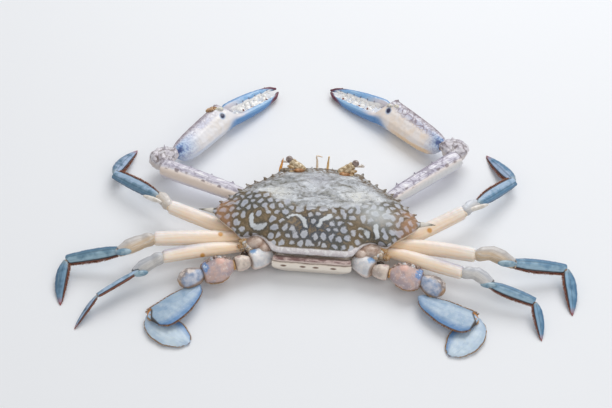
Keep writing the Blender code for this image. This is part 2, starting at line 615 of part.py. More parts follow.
def finger_teeth(first, last, count=7):
    """Places, root radii and heights of the teeth of a finger, large and small by turns."""
    teeth = []
    for number in range(count):
        share = number / (count - 1)
        large = number % 2 == 1
        shrink = 1.0 - 0.25 * share
        teeth.append((first + (last - first) * share, (2.2 if large else 1.7) * shrink,
                      (2.3 if large else 1.6) * shrink))
    return teeth


def finger(side, hand):
    """The moving finger of a claw with its teeth, set in the hand's own frame."""
    mirror = 1 if side == "r" else -1
    bow = -0.8
    item = limb_piece("claw_dactyl_" + side, "claw_dactyl", FINGER_LENGTH, (0, 0, 0), (0, 0, 0), side,
                      "blue", 1.0, bow)
    item.matrix_world = Matrix.Identity(4)
    spikes = []
    for x, size, tall in finger_teeth(9.0, FINGER_LENGTH - 7.5):
        share = x / FINGER_LENGTH
        front, back, top, bottom = catmull(SECTIONS["claw_dactyl"], share)
        edge = front + bow * math.sin(math.pi * share)
        spikes.append(cone((x + 0.4, (edge + tall) * mirror, 0.1), (x, (edge - 1.8) * mirror, 0.0),
                           size, 0.9, 5))
    fuse(item, spikes)
    hinge = Matrix.Translation((FINGER_ROOT[0], (FINGER_ROOT[1] + PALM[side]["shift"]) * mirror, 0.0))
    turn = Matrix.Rotation(math.radians(PALM[side]["finger"] * mirror), 4, "Z")
    item.matrix_world = hand.matrix_world @ hinge @ turn
    press_flat(item)
    return item


def claw(side):
    """A whole pincer limb: upper arm with spines, wrist, hand and moving finger."""
    limb = LIMBS["claw"]
    mirror = 1 if side == "r" else -1
    start, elbow = Vector(limb["start"][side]), Vector(limb["merus_at"][side])
    link = elbow - start
    heading = math.degrees(math.atan2(link.y, link.x * mirror))
    pitch = math.degrees(math.asin(link.z / link.length))
    ischium = limb_piece("claw_ischium_" + side, "claw_ischium", link.length, start,
                         (heading, pitch, 0), side, "cream")
    pieces, place = [ischium], elbow
    for name, kind, length, right, left, width in limb["rows"][1:]:
        pose = right if side == "r" else left
        pieces.append(limb_piece(f"claw_{name}_{side}", kind, length, place, pose, side, "lilac", width))
        place = reach(place, length, pose[0], pose[1], side)
    hand = palm(side, place)
    moving = finger(side, hand)
    merus, carpus = pieces[1], pieces[2]
    bpy.context.view_layer.update()
    arm = [cone((x + 1.4, 7.4 * mirror, 3.2), (x - 0.8, 3.6 * mirror, 1.6), 1.6, 1.0, 5)
           for x in (13.0, 28.0, 43.0)]
    arm.append(cone((59.4, -6.2 * mirror, 3.4), (55.6, -2.6 * mirror, 1.8), 1.4, 1.0, 5))
    fuse(merus, arm)
    wrist = [cone((14.2, -4.8 * mirror, 7.2), (10.2, -2.6 * mirror, 2.6), 1.7, 1.0, 5),
             cone((13.8, 5.6 * mirror, 3.4), (10.4, 2.4 * mirror, 1.6), 1.3, 1.0, 5)]
    fuse(carpus, wrist)
    carve(carpus, hand)
    carve(merus, carpus)
    carve(ischium, merus)
    carve(hand, moving)
    return pieces + [hand, moving]


def plain_limb(limb_name, side, colours):
    """A walking leg or the upper part of a swimming leg."""
    limb = LIMBS[limb_name]
    place = Vector(limb["start"][side])
    pieces = []
    for (name, kind, length, right, left, width), colour in zip(limb["rows"], colours):
        heading, pitch, roll = right if side == "r" else left
        if pitch is None:
            pitch = math.degrees(math.asin((TIP_Z - place.z) / length))
        bows = limb.get("bow", {}).get(name, (0.0, 0.0))
        bow = bows[0] if side == "r" else bows[1]
        pieces.append(limb_piece(f"{limb_name}_{name}_{side}", kind, length, place,
                                 (heading, pitch, roll), side, colour, width, bow))
        press_flat(pieces[-1])
        place = reach(place, length, heading, pitch, side)
    return pieces


def main():
    for item in list(bpy.data.objects):
        bpy.data.objects.remove(item)
    body, shell, tail = sternum(), carapace(), abdomen()
    head = head_pieces()
    roots = []
    for side in ("r", "l"):
        pincer = claw(side)
        roots.append(pincer[0])
        for limb_name in ("walk1", "walk2", "walk3"):
            leg = plain_limb(limb_name, side, ("cream", "lilac", "blue", "blue"))
            for near, far in zip(leg, leg[1:]):
                carve(near, far)
            roots.append(leg[0])
        leg = plain_limb("swim", side, ("under", "under", "lilac", "lilac"))
        for name, kind, length in (("propodus", "swim_propodus", PROPODUS_LENGTH),
                                   ("dactyl", "swim_dactyl", DACTYL_LENGTH)):
            place, heading, pitch = PADDLES[side][name]
            leg.append(limb_piece(f"swim_{name}_{side}", kind, length, place, (heading, pitch, 0), side,
                                  "paddle"))
            press_flat(leg[-1])
        for near, far in zip(leg, leg[1:]):
            carve(near, far)
        roots.append(leg[0])
        carve(head["eyestalk_" + side], head["eye_" + side])
    for root in roots:
        carve(body, root)
    carve(body, tail)
    for side in ("r", "l"):
        carve(body, head["maxilliped_" + side])
    for side in ("r", "l"):
        for feature in ("eyestalk_", "antenna_", "antennule_"):
            carve(shell, head[feature + side])
    for item in bpy.data.objects:
        item.data.transform(Matrix.Scale(MM, 4))
        item.location = item.location * MM


main()
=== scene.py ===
import math
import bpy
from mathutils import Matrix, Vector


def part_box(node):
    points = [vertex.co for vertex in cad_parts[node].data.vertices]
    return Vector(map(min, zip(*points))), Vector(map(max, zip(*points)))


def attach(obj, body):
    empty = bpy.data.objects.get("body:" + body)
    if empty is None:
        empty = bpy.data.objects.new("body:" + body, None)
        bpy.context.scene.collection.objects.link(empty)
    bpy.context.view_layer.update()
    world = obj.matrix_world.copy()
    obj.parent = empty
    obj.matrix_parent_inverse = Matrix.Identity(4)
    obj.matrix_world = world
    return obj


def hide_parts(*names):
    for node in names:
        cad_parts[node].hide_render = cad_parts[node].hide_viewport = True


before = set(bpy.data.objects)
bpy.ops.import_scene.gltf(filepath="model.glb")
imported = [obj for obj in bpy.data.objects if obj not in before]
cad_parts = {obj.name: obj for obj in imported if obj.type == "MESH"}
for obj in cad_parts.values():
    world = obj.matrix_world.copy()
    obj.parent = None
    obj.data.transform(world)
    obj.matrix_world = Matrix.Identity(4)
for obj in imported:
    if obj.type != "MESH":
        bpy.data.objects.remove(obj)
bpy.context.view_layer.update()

from types import SimpleNamespace

import bpy
import numpy as np
from mathutils import Vector, noise

bpy.ops.object.select_all(action="DESELECT")
mm = 0.001
floorGap = 0.02  # the lowest points of every skin stay this far above the floor, in mm
sides = {"l": -1.0, "r": 1.0}


def tint(tone):
    # a colour as the eye reads it, in six hex digits, turned into what a shader takes
    parts = [int(tone[place:place + 2], 16) / 255 for place in (0, 2, 4)]
    return tuple(p / 12.92 if p <= 0.04045 else ((p + 0.055) / 1.055) ** 2.4 for p in parts) + (1.0,)


def pointsOf(piece):
    flat = np.empty(len(piece.data.vertices) * 3, np.float32)
    piece.data.vertices.foreach_get("co", flat)
    return flat.reshape(-1, 3).astype(float) / mm


def normalsOf(piece):
    flat = np.empty(len(piece.data.vertices) * 3, np.float32)
    piece.data.vertex_normals.foreach_get("vector", flat)
    return flat.reshape(-1, 3).astype(float)


def movePoints(piece, points):
    piece.data.vertices.foreach_set("co", (points * mm).astype(np.float32).ravel())
    piece.data.update()


def writeFields(piece, **fields):
    for name, values in fields.items():
        field = piece.data.attributes.new(name, "FLOAT", "POINT")
        field.data.foreach_set("value", np.asarray(values, np.float32))


def applyModifier(piece, kind, **settings):
    bpy.ops.object.select_all(action="DESELECT")
    bpy.context.view_layer.objects.active = piece
    piece.select_set(True)
    modifier = piece.modifiers.new(kind.lower(), kind)
    for key, value in settings.items():
        setattr(modifier, key, value)
    bpy.ops.object.modifier_apply(modifier=modifier.name)
    piece.select_set(False)


def smoothStep(values, low, high):
    share = np.clip((values - low) / (high - low), 0, 1)
    return share * share * (3 - 2 * share)


def bell(values, width):
    # 1 where the values are 0, falling off over the given width
    return np.exp(-(values / width) ** 2)


def ovals(x, y, rows):
    # the strongest of several soft ovals at each point: middle, half widths and strength
    most = np.zeros(len(x))
    for middleX, middleY, wideX, wideY, strength in rows:
        most = np.maximum(most, strength * bell(x - middleX, wideX) * bell(y - middleY, wideY))
    return most


def ripple(points, size, seed=0.0):
    # smooth noise between about -1 and 1, with waves of the given size in mm
    heights = [noise.noise(Vector((x / size + seed, y / size, z / size))) for x, y, z in points]
    return np.array(heights) * 1.8


def toLine(points, line):
    # distance in mm from each point to a bent line, seen from above
    best = np.full(len(points), 1e9)
    for (ax, ay), (bx, by) in zip(line[:-1], line[1:]):
        run = np.array((bx - ax, by - ay))
        share = np.clip(((points[:, :2] - (ax, ay)) @ run) / max(run @ run, 1e-9), 0, 1)
        best = np.minimum(best, np.hypot(points[:, 0] - ax - share * run[0],
                                         points[:, 1] - ay - share * run[1]))
    return best


def skinOf(nodeName, grain=0.5, rounds=6, cap=0.25):
    # a finer, smoother copy of a CAD node; no point strays further than the cap
    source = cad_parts[nodeName]
    piece = bpy.data.objects.new(nodeName + "Skin", source.data.copy())
    bpy.context.collection.objects.link(piece)
    piece.data.materials.clear()
    bpy.context.view_layer.objects.active = piece
    piece.select_set(True)
    bpy.ops.object.mode_set(mode="EDIT")
    bpy.ops.mesh.select_all(action="SELECT")
    bpy.ops.mesh.remove_doubles(threshold=1e-6)
    bpy.ops.object.mode_set(mode="OBJECT")
    applyModifier(piece, "REMESH", mode="VOXEL", voxel_size=grain * mm, adaptivity=0.0)
    before = pointsOf(piece)
    applyModifier(piece, "SMOOTH", factor=0.5, iterations=rounds)
    step = pointsOf(piece) - before
    length = np.linalg.norm(step, axis=1, keepdims=True)
    movePoints(piece, before + step * np.minimum(1, cap / np.maximum(length, 1e-6)))
    return piece


def finishPiece(piece, material, nodes=(), slot=None, body="root"):
    points = pointsOf(piece)
    if points[:, 2].min() < floorGap:
        points[:, 2] = np.maximum(points[:, 2], floorGap)
        movePoints(piece, points)
    piece.data.polygons.foreach_set("use_smooth", np.ones(len(piece.data.polygons), bool))
    piece.data.materials.append(material)
    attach(piece, body)
    if nodes:
        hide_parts(*nodes)
    return piece


class Paint:
    # builds one procedural material; a tone is six hex digits, and a field of the piece goes by its name
    def __init__(self, name, rough, coat=0.0, coatRough=0.03, flesh=(0.0, (1.0, 0.2, 0.1), 0.05)):
        self.made = bpy.data.materials.new(name)
        self.made.use_nodes = True
        self.tree = self.made.node_tree
        self.shader = self.tree.nodes["Principled BSDF"]
        self.fields = {}
        sockets = ("Roughness", "Coat Weight", "Coat Roughness", "Subsurface Weight", "Subsurface Radius",
                   "Subsurface Scale")
        for socket, value in zip(sockets, (rough, coat, coatRough) + flesh):
            self.shader.inputs[socket].default_value = value

    def put(self, socket, value):
        if isinstance(value, bpy.types.NodeSocket):
            self.tree.links.new(value, socket)
        else:
            socket.default_value = tint(value) if isinstance(value, str) else value

    def node(self, kind, inputs, **settings):
        made = self.tree.nodes.new(kind)
        for key, value in settings.items():
            setattr(made, key, value)
        for key, value in inputs.items():
            self.put(made.inputs[key], value)
        return made

    def field(self, value):
        # a name becomes the piece's own field; any other value is passed on
        if not isinstance(value, str):
            return value
        if value not in self.fields:
            self.fields[value] = self.node("ShaderNodeAttribute", {}, attribute_name=value).outputs["Fac"]
        return self.fields[value]

    def place(self, scale=(1, 1, 1)):
        spot = self.node("ShaderNodeTexCoord", {}).outputs["Object"]
        return self.node("ShaderNodeMapping", {"Vector": spot, "Scale": scale}).outputs["Vector"]

    def noise(self, size, detail=3.0, rough=0.55, warp=0.0, where=None):
        inputs = {"Vector": where or self.place(), "Scale": 1 / (size * mm), "Detail": detail,
                  "Roughness": rough, "Distortion": warp}
        return self.node("ShaderNodeTexNoise", inputs).outputs["Fac"]

    def cells(self, size, feature="F1", where=None, uneven=1.0):
        inputs = {"Vector": where or self.place(), "Scale": 1 / (size * mm), "Randomness": uneven}
        return self.node("ShaderNodeTexVoronoi", inputs, feature=feature).outputs["Distance"]

    def streaks(self, lengthwise, crosswise):
        # noise drawn out along a limb piece, from its own along, across and height fields
        parts = [self.times(name, scale)
                 for name, scale in (("along", lengthwise), ("across", crosswise),
                                     ("height", crosswise * 0.5))]
        spot = self.node("ShaderNodeCombineXYZ", dict(zip("XYZ", parts))).outputs["Vector"]
        inputs = {"Vector": spot, "Scale": 1.0, "Detail": 3.0, "Roughness": 0.6}
        return self.node("ShaderNodeTexNoise", inputs).outputs["Fac"]

    def step(self, value, low, high, start=0.0, end=1.0):
        inputs = {"Value": self.field(value), "From Min": low, "From Max": high, "To Min": start,
                  "To Max": end}
        return self.node("ShaderNodeMapRange", inputs, interpolation_type="SMOOTHSTEP").outputs["Result"]

    def calc(self, operation, *values):
        made = self.node("ShaderNodeMath", {}, operation=operation)
        for socket, value in zip(made.inputs, values):
            self.put(socket, self.field(value))
        return made.outputs["Value"]

    def times(self, value, *others):
        for other in others:
            value = self.calc("MULTIPLY", value, other)
        return value

    def plus(self, value, other):
        return self.calc("ADD", value, other)

    def less(self, value, other):
        return self.calc("SUBTRACT", value, other)

    def off(self, value, middle):
        # how far the value is from the middle
        return self.calc("ABSOLUTE", self.less(value, middle))

    def stir(self, value, cloud, reach):
        # a value made uneven by a noise
        return self.plus(value, self.times(self.less(cloud, 0.5), reach))

    def mix(self, share, first, second):
        made = self.node("ShaderNodeMix", {}, data_type="RGBA")
        self.put(made.inputs["Factor"], self.field(share))
        self.put(made.inputs[6], first)  # the mix node's first colour
        self.put(made.inputs[7], second)  # and its second
        return made.outputs[2]

    def layers(self, colour, rows):
        # tones laid over one another: a row is a share, or a value, its range and its most, and then a tone
        for *share, tone in rows:
            if len(share) > 1:
                value, low, high, most = share
                share = [self.step(value, low, high, 0, most)]
            colour = self.mix(share[0], colour, tone)
        return colour

    def ramp(self, value, stops):
        made = self.node("ShaderNodeValToRGB", {"Fac": self.field(value)})
        elements = made.color_ramp.elements
        while len(elements) < len(stops):
            elements.new(0.5)
        for element, (place, tone) in zip(elements, stops):
            element.position = place
            element.color = tint(tone)
        return made.outputs["Color"]

    def finish(self, colour, bumps=(), roughness=None):
        self.put(self.shader.inputs["Base Color"], colour)
        normal = None
        for height, strength, depth in bumps:
            inputs = {"Height": height, "Strength": strength, "Distance": depth * mm}
            if normal:
                inputs["Normal"] = normal
            normal = self.node("ShaderNodeBump", inputs).outputs["Normal"]
        if normal:
            self.put(self.shader.inputs["Normal"], normal)
        if roughness is not None:
            self.put(self.shader.inputs["Roughness"], roughness)
        return self.made


studio = {
    "cameraPlace": (0.0425, -0.5059, 0.5408), "cameraTurn": 5.5, "cameraDrop": 45.0, "lens": 70.0,
    "floorTone": "eceff4", "air": "fffdfa", "airStrength": 0.47,
    "lights": [("backSoft", (0.18, 0.85, 1.05), 1.1, 10.4), ("frontSoft", (0.55, -0.70, 1.10), 1.3, 4.3)],
}


def buildStudio():
    camera = bpy.data.objects.new("camera", bpy.data.cameras.new("camera"))
    bpy.context.collection.objects.link(camera)
    turn, drop = math.radians(studio["cameraTurn"]), math.radians(studio["cameraDrop"])
    ahead = Vector((-math.sin(turn) * math.cos(drop), math.cos(turn) * math.cos(drop), -math.sin(drop)))
    camera.location = studio["cameraPlace"]
    camera.rotation_euler = ahead.to_track_quat("-Z", "Y").to_euler()
    camera.data.lens = studio["lens"]
    camera.data.sensor_width = 36.0
    camera.data.clip_start = 0.01
    bpy.context.scene.camera = camera

    bpy.ops.mesh.primitive_plane_add(size=8.0, location=(0, 0, 0))
    floor = bpy.context.object
    floor.name = "floor"
    paint = Paint("paleFloor", 0.75)
    floor.data.materials.append(paint.finish(studio["floorTone"]))
    floor.select_set(False)

    world = bpy.data.worlds.new("softAir")
    bpy.context.scene.world = world
    world.use_nodes = True
    backdrop = world.node_tree.nodes["Background"]
    backdrop.inputs["Color"].default_value = tint(studio["air"])
    backdrop.inputs["Strength"].default_value = studio["airStrength"]
    for name, place, size, power in studio["lights"]:
        lamp = bpy.data.objects.new(name, bpy.data.lights.new(name, "AREA"))
        bpy.context.collection.objects.link(lamp)
        lamp.location = place
        lamp.rotation_euler = (-Vector(place)).to_track_quat("-Z", "Y").to_euler()
        lamp.data.shape = "DISK"
        lamp.data.size = size
        lamp.data.energy = power
    bpy.context.scene.view_settings.view_transform = "Standard"


buildStudio()
print("studio ready")


shell = {
    "grain": 0.5, "spacing": 5.2, "line": 0.86, "seed": 11,
    # blotches: how far they stray from their rows, their radii, their room round a mark, and how often
    # two neighbours are joined, by a bar of the given half width
    "stray": (1.3, 1.2), "blotchRadii": (1.6, 2.7), "markRoom": 1.9, "joined": 0.07, "joinReach": 1.12,
    "barHalf": 1.5,
    # ridges behind the side teeth are this high, and the ridge field is 1 at the second height, in mm
    "teethRidge": 0.35, "fullRidge": 0.45,
    # where the washed front half begins, as y over x
    "washEdge": ([-62, -54, -48, -34, -22, -10, 2, 14, 26, 38, 48, 60],
                 [32, 26, 19, 10.5, 4.5, 0.0, -1.0, 3.5, 3.0, 8.0, 15, 26]),
    # pale marks: bent lines seen from above, each with its half width
    "marks": [([(-38.8, -5.8), (-38.6, -9.5), (-37.6, -12.2), (-34.6, -12.9), (-29.9, -11.7)], 1.3),
              ([(-16.9, -7.2), (-14.8, -5.6), (-11.8, -5.0)], 1.0),
              ([(-11.8, -5.0), (-8.6, -6.6), (-6.2, -9.2), (-5.2, -13.0)], 1.3),
              ([(9.6, -4.6), (6.3, -6.6), (3.4, -8.6), (2.6, -11.6)], 1.5),
              ([(36.8, -7.5), (37.9, -12.8)], 1.7), ([(27.4, -10.8), (32.6, -12.6)], 1.2)],
    # fine ridges across the shell, right half; the left is its mirror
    "ridges": [([(0, 9.2), (5, 9.2), (11.2, 10.6)], 0.40), ([(11.2, 13.5), (20, 17.0), (30.7, 20.8)], 0.30),
               ([(61, 4), (54, 5.5), (47, 9.5), (40, 11.5), (33, 10.6), (28, 7.6)], 0.30),
               ([(4, 22), (9, 23.4), (15, 22.4)], 0.35), ([(4, 30.5), (9, 31.4), (14, 29.4)], 0.35),
               ([(18, 27), (24, 28.5), (29, 27)], 0.30), ([(0, 0.8), (6, 1.6), (10, 0.4)], 0.35)],
    # dark smudges of the front half: middle, half widths and strength
    "smudges": [(2, 10.6, 12, 1.6, 0.85), (3, 3.6, 9, 2.0, 0.7), (-18, 26, 4, 2.4, 0.7),
                (19, 25, 5, 2.4, 0.7), (33, 9, 3, 2.2, 0.9), (27.4, 5.1, 2.6, 2.6, 0.9),
                (-44, 22, 7, 3, 0.8), (46, 20, 7, 3, 0.7), (-31, 31, 5, 2.2, 0.8), (33, 29, 5, 2, 0.7),
                (0, 26, 6, 2, 0.5), (-8, 33, 4, 2, 0.6), (10, 34, 4, 1.6, 0.6)],
    # pale clouds of the front half, written the same way
    "clouds": [(-27, 11, 9, 5.5, 1.0), (24, 13, 11, 4.5, 1.0), (-9, 1.5, 6, 2.6, 0.8), (9, 2.5, 5, 3, 0.8),
               (36, 5, 9, 6, 0.8), (-2, 22, 10, 3, 0.5), (-20, 33, 6, 3, 0.6), (20, 31, 7, 3, 0.4)],
    # a cream cloud on each side and a lilac one between them, written the same way
    "creamOval": (26, 12, 10, 6, 1.0), "lilacOval": (0, 25, 9, 7, 1.0),
    # where the rear face carries the hem: distance from the middle, height of the hem in mm
    "hemTall": ([0, 23, 27, 45], [5.0, 5.0, 2.6, 2.2]),
}
sideTeeth = [(26.6, 41.3), (31.6, 34.9), (36.7, 32.2), (42.2, 28.4), (47.0, 24.8), (51.8, 20.2),
             (56.7, 14.2), (61.7, 8.6)]


def scatterBlotches():
    # blotches in uneven rows, clear of the marks, as x, y and radius, and the pairs that are joined
    dice = np.random.default_rng(shell["seed"])
    gap, (strayX, strayY) = shell["spacing"], shell["stray"]
    centres = []
    for row in range(-8, 12):
        for column in range(-16, 17):
            x = (column + 0.5 * (row % 2)) * gap + dice.uniform(-strayX, strayX)
            y = row * gap * 0.87 + dice.uniform(-strayY, strayY)
            radius = dice.uniform(*shell["blotchRadii"])
            spot = np.array([[x, y]])
            if all(toLine(spot, line)[0] > wide + shell["markRoom"] for line, wide in shell["marks"]):
                centres.append((x, y, radius))
    centres = np.array(centres)
    group = np.arange(len(centres))
    links = []
    for first in range(len(centres)):
        for second in range(first + 1, len(centres)):
            reach = np.hypot(*(centres[first, :2] - centres[second, :2]))
            free = group[second] == second and group[first] == first
            if reach < gap * shell["joinReach"] and dice.random() < shell["joined"] and free:
                group[second] = first
                links.append((first, second))
    return centres, links


def blotchField(points):
    # how far each point is outside the nearest pale blotch, in mm; below 0 is inside
    centres, links = scatterBlotches()
    gone = 1e3  # a distance so large that the blotch no longer counts
    near = np.stack([np.hypot(points[:, 0] - x, points[:, 1] - y) - radius for x, y, radius in centres],
                    axis=1)
    for first, second in links:
        bar = toLine(points, [tuple(centres[first, :2]), tuple(centres[second, :2])]) - shell["barHalf"]
        near[:, first] = np.minimum(np.minimum(near[:, first], near[:, second]), bar)
        near[:, second] = gone
    marks = np.stack([toLine(points, line) - wide for line, wide in shell["marks"]], axis=1)
    marks[:, 1] = np.minimum(marks[:, 1], marks[:, 2])
    marks[:, 2] = gone
    near = np.concatenate([near, marks], axis=1)
    near.partition(1, axis=1)
    return np.maximum(near[:, 0], shell["line"] - 0.5 * (near[:, 1] - near[:, 0]))


def netTones(paint, grit, mottle, inside):
    # the rear half: pale blotches in a net, dark beside them, browner and speckled where it is wide
    drift = paint.noise(14.0, detail=2.0)
    net = paint.layers("4a4a44", [
        (drift, 0.4, 0.6, 1, "68583e"), ("middle", 0.1, 0.9, 1, "3e4652"),
        (grit, 0.5, 0.72, 0.55, "8a7c62")])
    wide = paint.times(paint.step("blotch", 0.55, 1.4), paint.step(mottle, 0.36, 0.62))
    net = paint.layers(net, [(paint.times(wide, 0.85), "887458"), (paint.times("rust", 0.85), "a47a58")])
    spot = paint.layers("9ea6b8", [
        (drift, 0.38, 0.6, 1, "b6bac4"), (grit, 0.35, 0.75, 0.45, "9296a4"),
        ("blotch", -1.6, -0.4, 0.35, "ceced2"), ("rust", "b6a6a6"), ("mark", "ced4da")])
    return paint.layers(net, [(inside, spot), (paint.times("pale", 0.7), "ccd2d6")])


def washTones(paint, grit, mottle, inside):
    # the washed front half: swirled pale clouds with thin dark lines between them
    patchy = paint.noise(6.0, detail=3.0, rough=0.55)
    swirl = paint.noise(5.5, detail=5.0, rough=0.62, warp=1.1, where=paint.place((0.62, 1.0, 1.0)))
    vein = paint.noise(4.2, detail=4.0, rough=0.6, warp=1.6, where=paint.place((0.5, 1.0, 1.0)))
    swirl = paint.plus(swirl, paint.times("cloud", 0.16))
    tones = paint.ramp(swirl, [(0.3, "605c52"), (0.41, "868886"), (0.49, "a6a8ac"), (0.58, "c0c6ce"),
                               (0.72, "dee2e8")])
    thin = paint.step(paint.off(vein, 0.5), 0.02, 0.004)
    smudge = paint.times("smudge", paint.step(mottle, 0.62, 0.4))
    brim = paint.times(paint.step("margin", 0.0, 0.8), paint.step(mottle, 0.6, 0.44))
    return paint.layers(tones, [
        (paint.times("cream", paint.step(swirl, 0.4, 0.6, 0.0, 0.8)), "d8d8d2"),
        (paint.times("lilac", 0.6), "acacb8"),
        (paint.times(thin, paint.step(patchy, 0.62, 0.42, 0.1, 0.75)), "545046"),
        (paint.times(inside, 0.3), "c4cad4"), (grit, 0.62, 0.74, 0.35, "dee2e6"),
        (paint.times("pale", 0.5), "ced4d6"), (smudge, "54585e"), (brim, "685640")])


def shellPaint():
    paint = Paint("shellPaint", 0.42, 0.15, 0.35)
    grit = paint.noise(0.55, detail=2.0)
    mottle = paint.noise(2.2, detail=4.0, rough=0.6)
    edge = paint.stir(paint.stir("blotch", mottle, 1.3), grit, 0.8)
    inside = paint.step(edge, 0.35, -0.45)
    rear, front = netTones(paint, grit, mottle, inside), washTones(paint, grit, mottle, inside)
    tooth = paint.mix(paint.step(mottle, 0.4, 0.6), "544838", "968876")
    spine = paint.layers("cecac2", [("spine", 0.35, 0.75, 1, "605c50")])
    # the smooth pale hem along the rear edge
    hem = paint.layers("d6d0d4", [(mottle, 0.4, 0.66, 1, "eeecee")])
    belly = paint.mix(mottle, "d6c8b6", "e8e0d4")
    colour = paint.layers(rear, [
        ("washed", front), ("ridge", 0.35, 0.9, 0.4, "ccccc6"), ("furrow", 0.3, 0.9, 0.55, "524838"),
        ("tooth", tooth), ("spine", 0.02, 0.12, 1, spine), ("crease", "564838"), ("band", hem),
        ("under", belly)])
    return paint.finish(colour, [(paint.cells(0.8), 0.35, -0.35), (grit, 0.35, 0.25)],
                        paint.step(mottle, 0.3, 0.7, 0.36, 0.55))


def shake(flat, size, seeds, reach):
    # a sideways shift of every point by smooth noise, with waves of the given size in mm
    ways = [ripple(flat, size, seed) for seed in seeds]
    return np.stack(ways + [0 * ways[0]], axis=1) * reach


def shellRear(points, up):
    # how far each point lies below the rear edge, how far it is on the rear face, and where the hem starts
    x, y = points[:, 0], points[:, 1]
    edgeX = np.arange(-46.0, 46.1, 1.0)
    edgeY, edgeTop, edgeLow = np.zeros((3, len(edgeX)))
    for index, place in enumerate(edgeX):
        near = np.abs(x - place) < 0.7
        edgeY[index] = y[near & (up > 0.5)].min()
        lip = near & (y < edgeY[index] + 0.6)
        edgeTop[index] = points[lip & (up > 0.5), 2].mean()
        edgeLow[index] = points[lip, 2].min()
    edgeY, edgeTop, edgeLow = [np.convolve(np.pad(row, 1, mode="edge"), (0.25, 0.5, 0.25), "valid")
                               for row in (edgeY, edgeTop, edgeLow)]
    down = np.interp(x, edgeX, edgeTop) - points[:, 2]
    rearPart = smoothStep(y, -4.0, -9.0) * smoothStep(np.abs(x), 47, 44)
    face = smoothStep(toLine(points, list(zip(edgeX, edgeY))), 2.2, 1.4) * rearPart
    hemStart = np.interp(x, edgeX, edgeTop - edgeLow) - np.interp(np.abs(x), *shell["hemTall"])
    return down, face, hemStart


def shellRidges(mirrored):
    # how far each point is on a ridge, and in the shallow furrow behind it
    behind = mirrored + (0, 1.3)
    ridge, furrow = np.zeros((2, len(mirrored)))
    teethRidges = [([(x - 1.5, y - 2.0), (x - 8.5, y - 6.2)], shell["teethRidge"])
                   for x, y in sideTeeth[1:]]
    for line, height in shell["ridges"] + teethRidges:
        ridge = np.maximum(ridge, bell(toLine(mirrored, line), 0.75) * height / shell["fullRidge"])
        furrow = np.maximum(furrow, bell(toLine(behind, line), 0.6) * height / shell["fullRidge"])
    return ridge, furrow


def writeClouds(piece, x, y, flat):
    # the fields of the shell that follow from the place alone
    far = np.abs(x)
    rust = smoothStep(far + ripple(flat, 5.0, 5.0) * 2.5, 46.5, 56.0)
    rust *= smoothStep(y, 12.5, 6.0) * smoothStep(far, 63, 60)
    pale = np.exp(-(((x - 37) / 10) ** 2 + ((y + 0.5) / 7.0) ** 2) ** 1.3)
    writeFields(piece, pale=pale, rust=rust, middle=bell(x, 19) * bell(y + 14, 11),
                cloud=ovals(x, y, shell["clouds"]), smudge=ovals(x, y, shell["smudges"]),
                cream=ovals(far, y, [shell["creamOval"]]), lilac=ovals(x, y, [shell["lilacOval"]]),
                spine=np.clip((far - 62.8) / 11.5, 0, 1))


def buildShell():
    piece = skinOf("carapace", grain=shell["grain"], rounds=5, cap=0.30)
    points, normals = pointsOf(piece), normalsOf(piece)
    x, y, up = points[:, 0], points[:, 1], normals[:, 2]
    flat, far = points * (1, 1, 0), np.abs(x)
    writeClouds(piece, x, y, flat)
    down, face, hemStart = shellRear(points, up)
    hem = smoothStep(down, hemStart - 0.3, hemStart + 0.2) * face
    crease = bell(down - hemStart + 0.35, 0.35) * face
    # the pattern runs on down the rear face, and its edges are uneven
    bent = points + shake(flat, 4.0, (3.1, 9.7), 0.50)
    bent[:, 1] -= np.clip(down, 0, 6) * face
    blotch = blotchField(bent + shake(flat, 1.7, (81.0, 87.0), 0.30))
    ragged = bent + shake(flat, 1.6, (71.0, 77.0), 0.35)
    marks = np.min([toLine(ragged, line) - wide for line, wide in shell["marks"]], axis=0)
    washEdge = np.interp(x, *shell["washEdge"]) + ripple(flat, 7.0, 21.0) * 2.6
    washed = smoothStep(y - washEdge + ripple(flat, 2.6, 4.0) * 1.2, -1.6, 2.2)
    mirrored = np.stack([far + ripple(flat, 6.0, 2.0) * 0.8, y + ripple(flat, 5.0, 14.0) * 0.7], axis=1)
    ridge, furrow = shellRidges(mirrored)
    ridge *= smoothStep(ripple(flat, 3.0, 61.0), -0.6, 0.3)
    tooth = np.max([smoothStep(np.hypot(far - tx, y - ty), 4.0, 1.6) for tx, ty in sideTeeth], axis=0)
    margin = smoothStep(toLine(mirrored, sideTeeth), 13.0, 4.0) * smoothStep(y, 2, 8)
    brow = smoothStep(y, 32.0, 38.0) * smoothStep(far, 30, 26)
    topSide = smoothStep(up, 0.1, 0.45)
    under = smoothStep(up, 0.05, -0.25) * (1 - face * smoothStep(up, -0.8, -0.4))
    writeFields(piece, blotch=blotch, mark=smoothStep(marks, 0.5, -0.2), washed=washed * (1 - hem),
                ridge=ridge * topSide, furrow=furrow * topSide * (1 - hem), band=hem, crease=crease * 0.7,
                margin=np.maximum(margin, brow) * 0.9, tooth=tooth * 0.8, under=under)
    rough = (0.04 + 0.05 * washed + 0.05 * smoothStep(y, -20, 10)) * (1 - hem)
    lift = topSide * (0.34 * ridge - 0.20 * furrow + rough * ripple(points, 1.5, 8.0)
                      + 0.14 * washed * ripple(flat, 3.2, 33.0))
    lift += 0.15 * hem - 0.25 * crease + 0.35 * smoothStep(tooth, 0.3, 0.9)
    lift += topSide * 0.12 * smoothStep(blotch, 0.5, -0.5) * (1 - washed) * (1 - hem)
    movePoints(piece, points + normals * lift[:, None])
    return finishPiece(piece, shellPaint(), ["carapace"], "shell")


shellPiece = buildShell()
print("shell ready", len(shellPiece.data.polygons), "faces")


def middleOf(nodeName):
    low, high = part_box(nodeName)
    return np.array((low + high) / 2) / mm


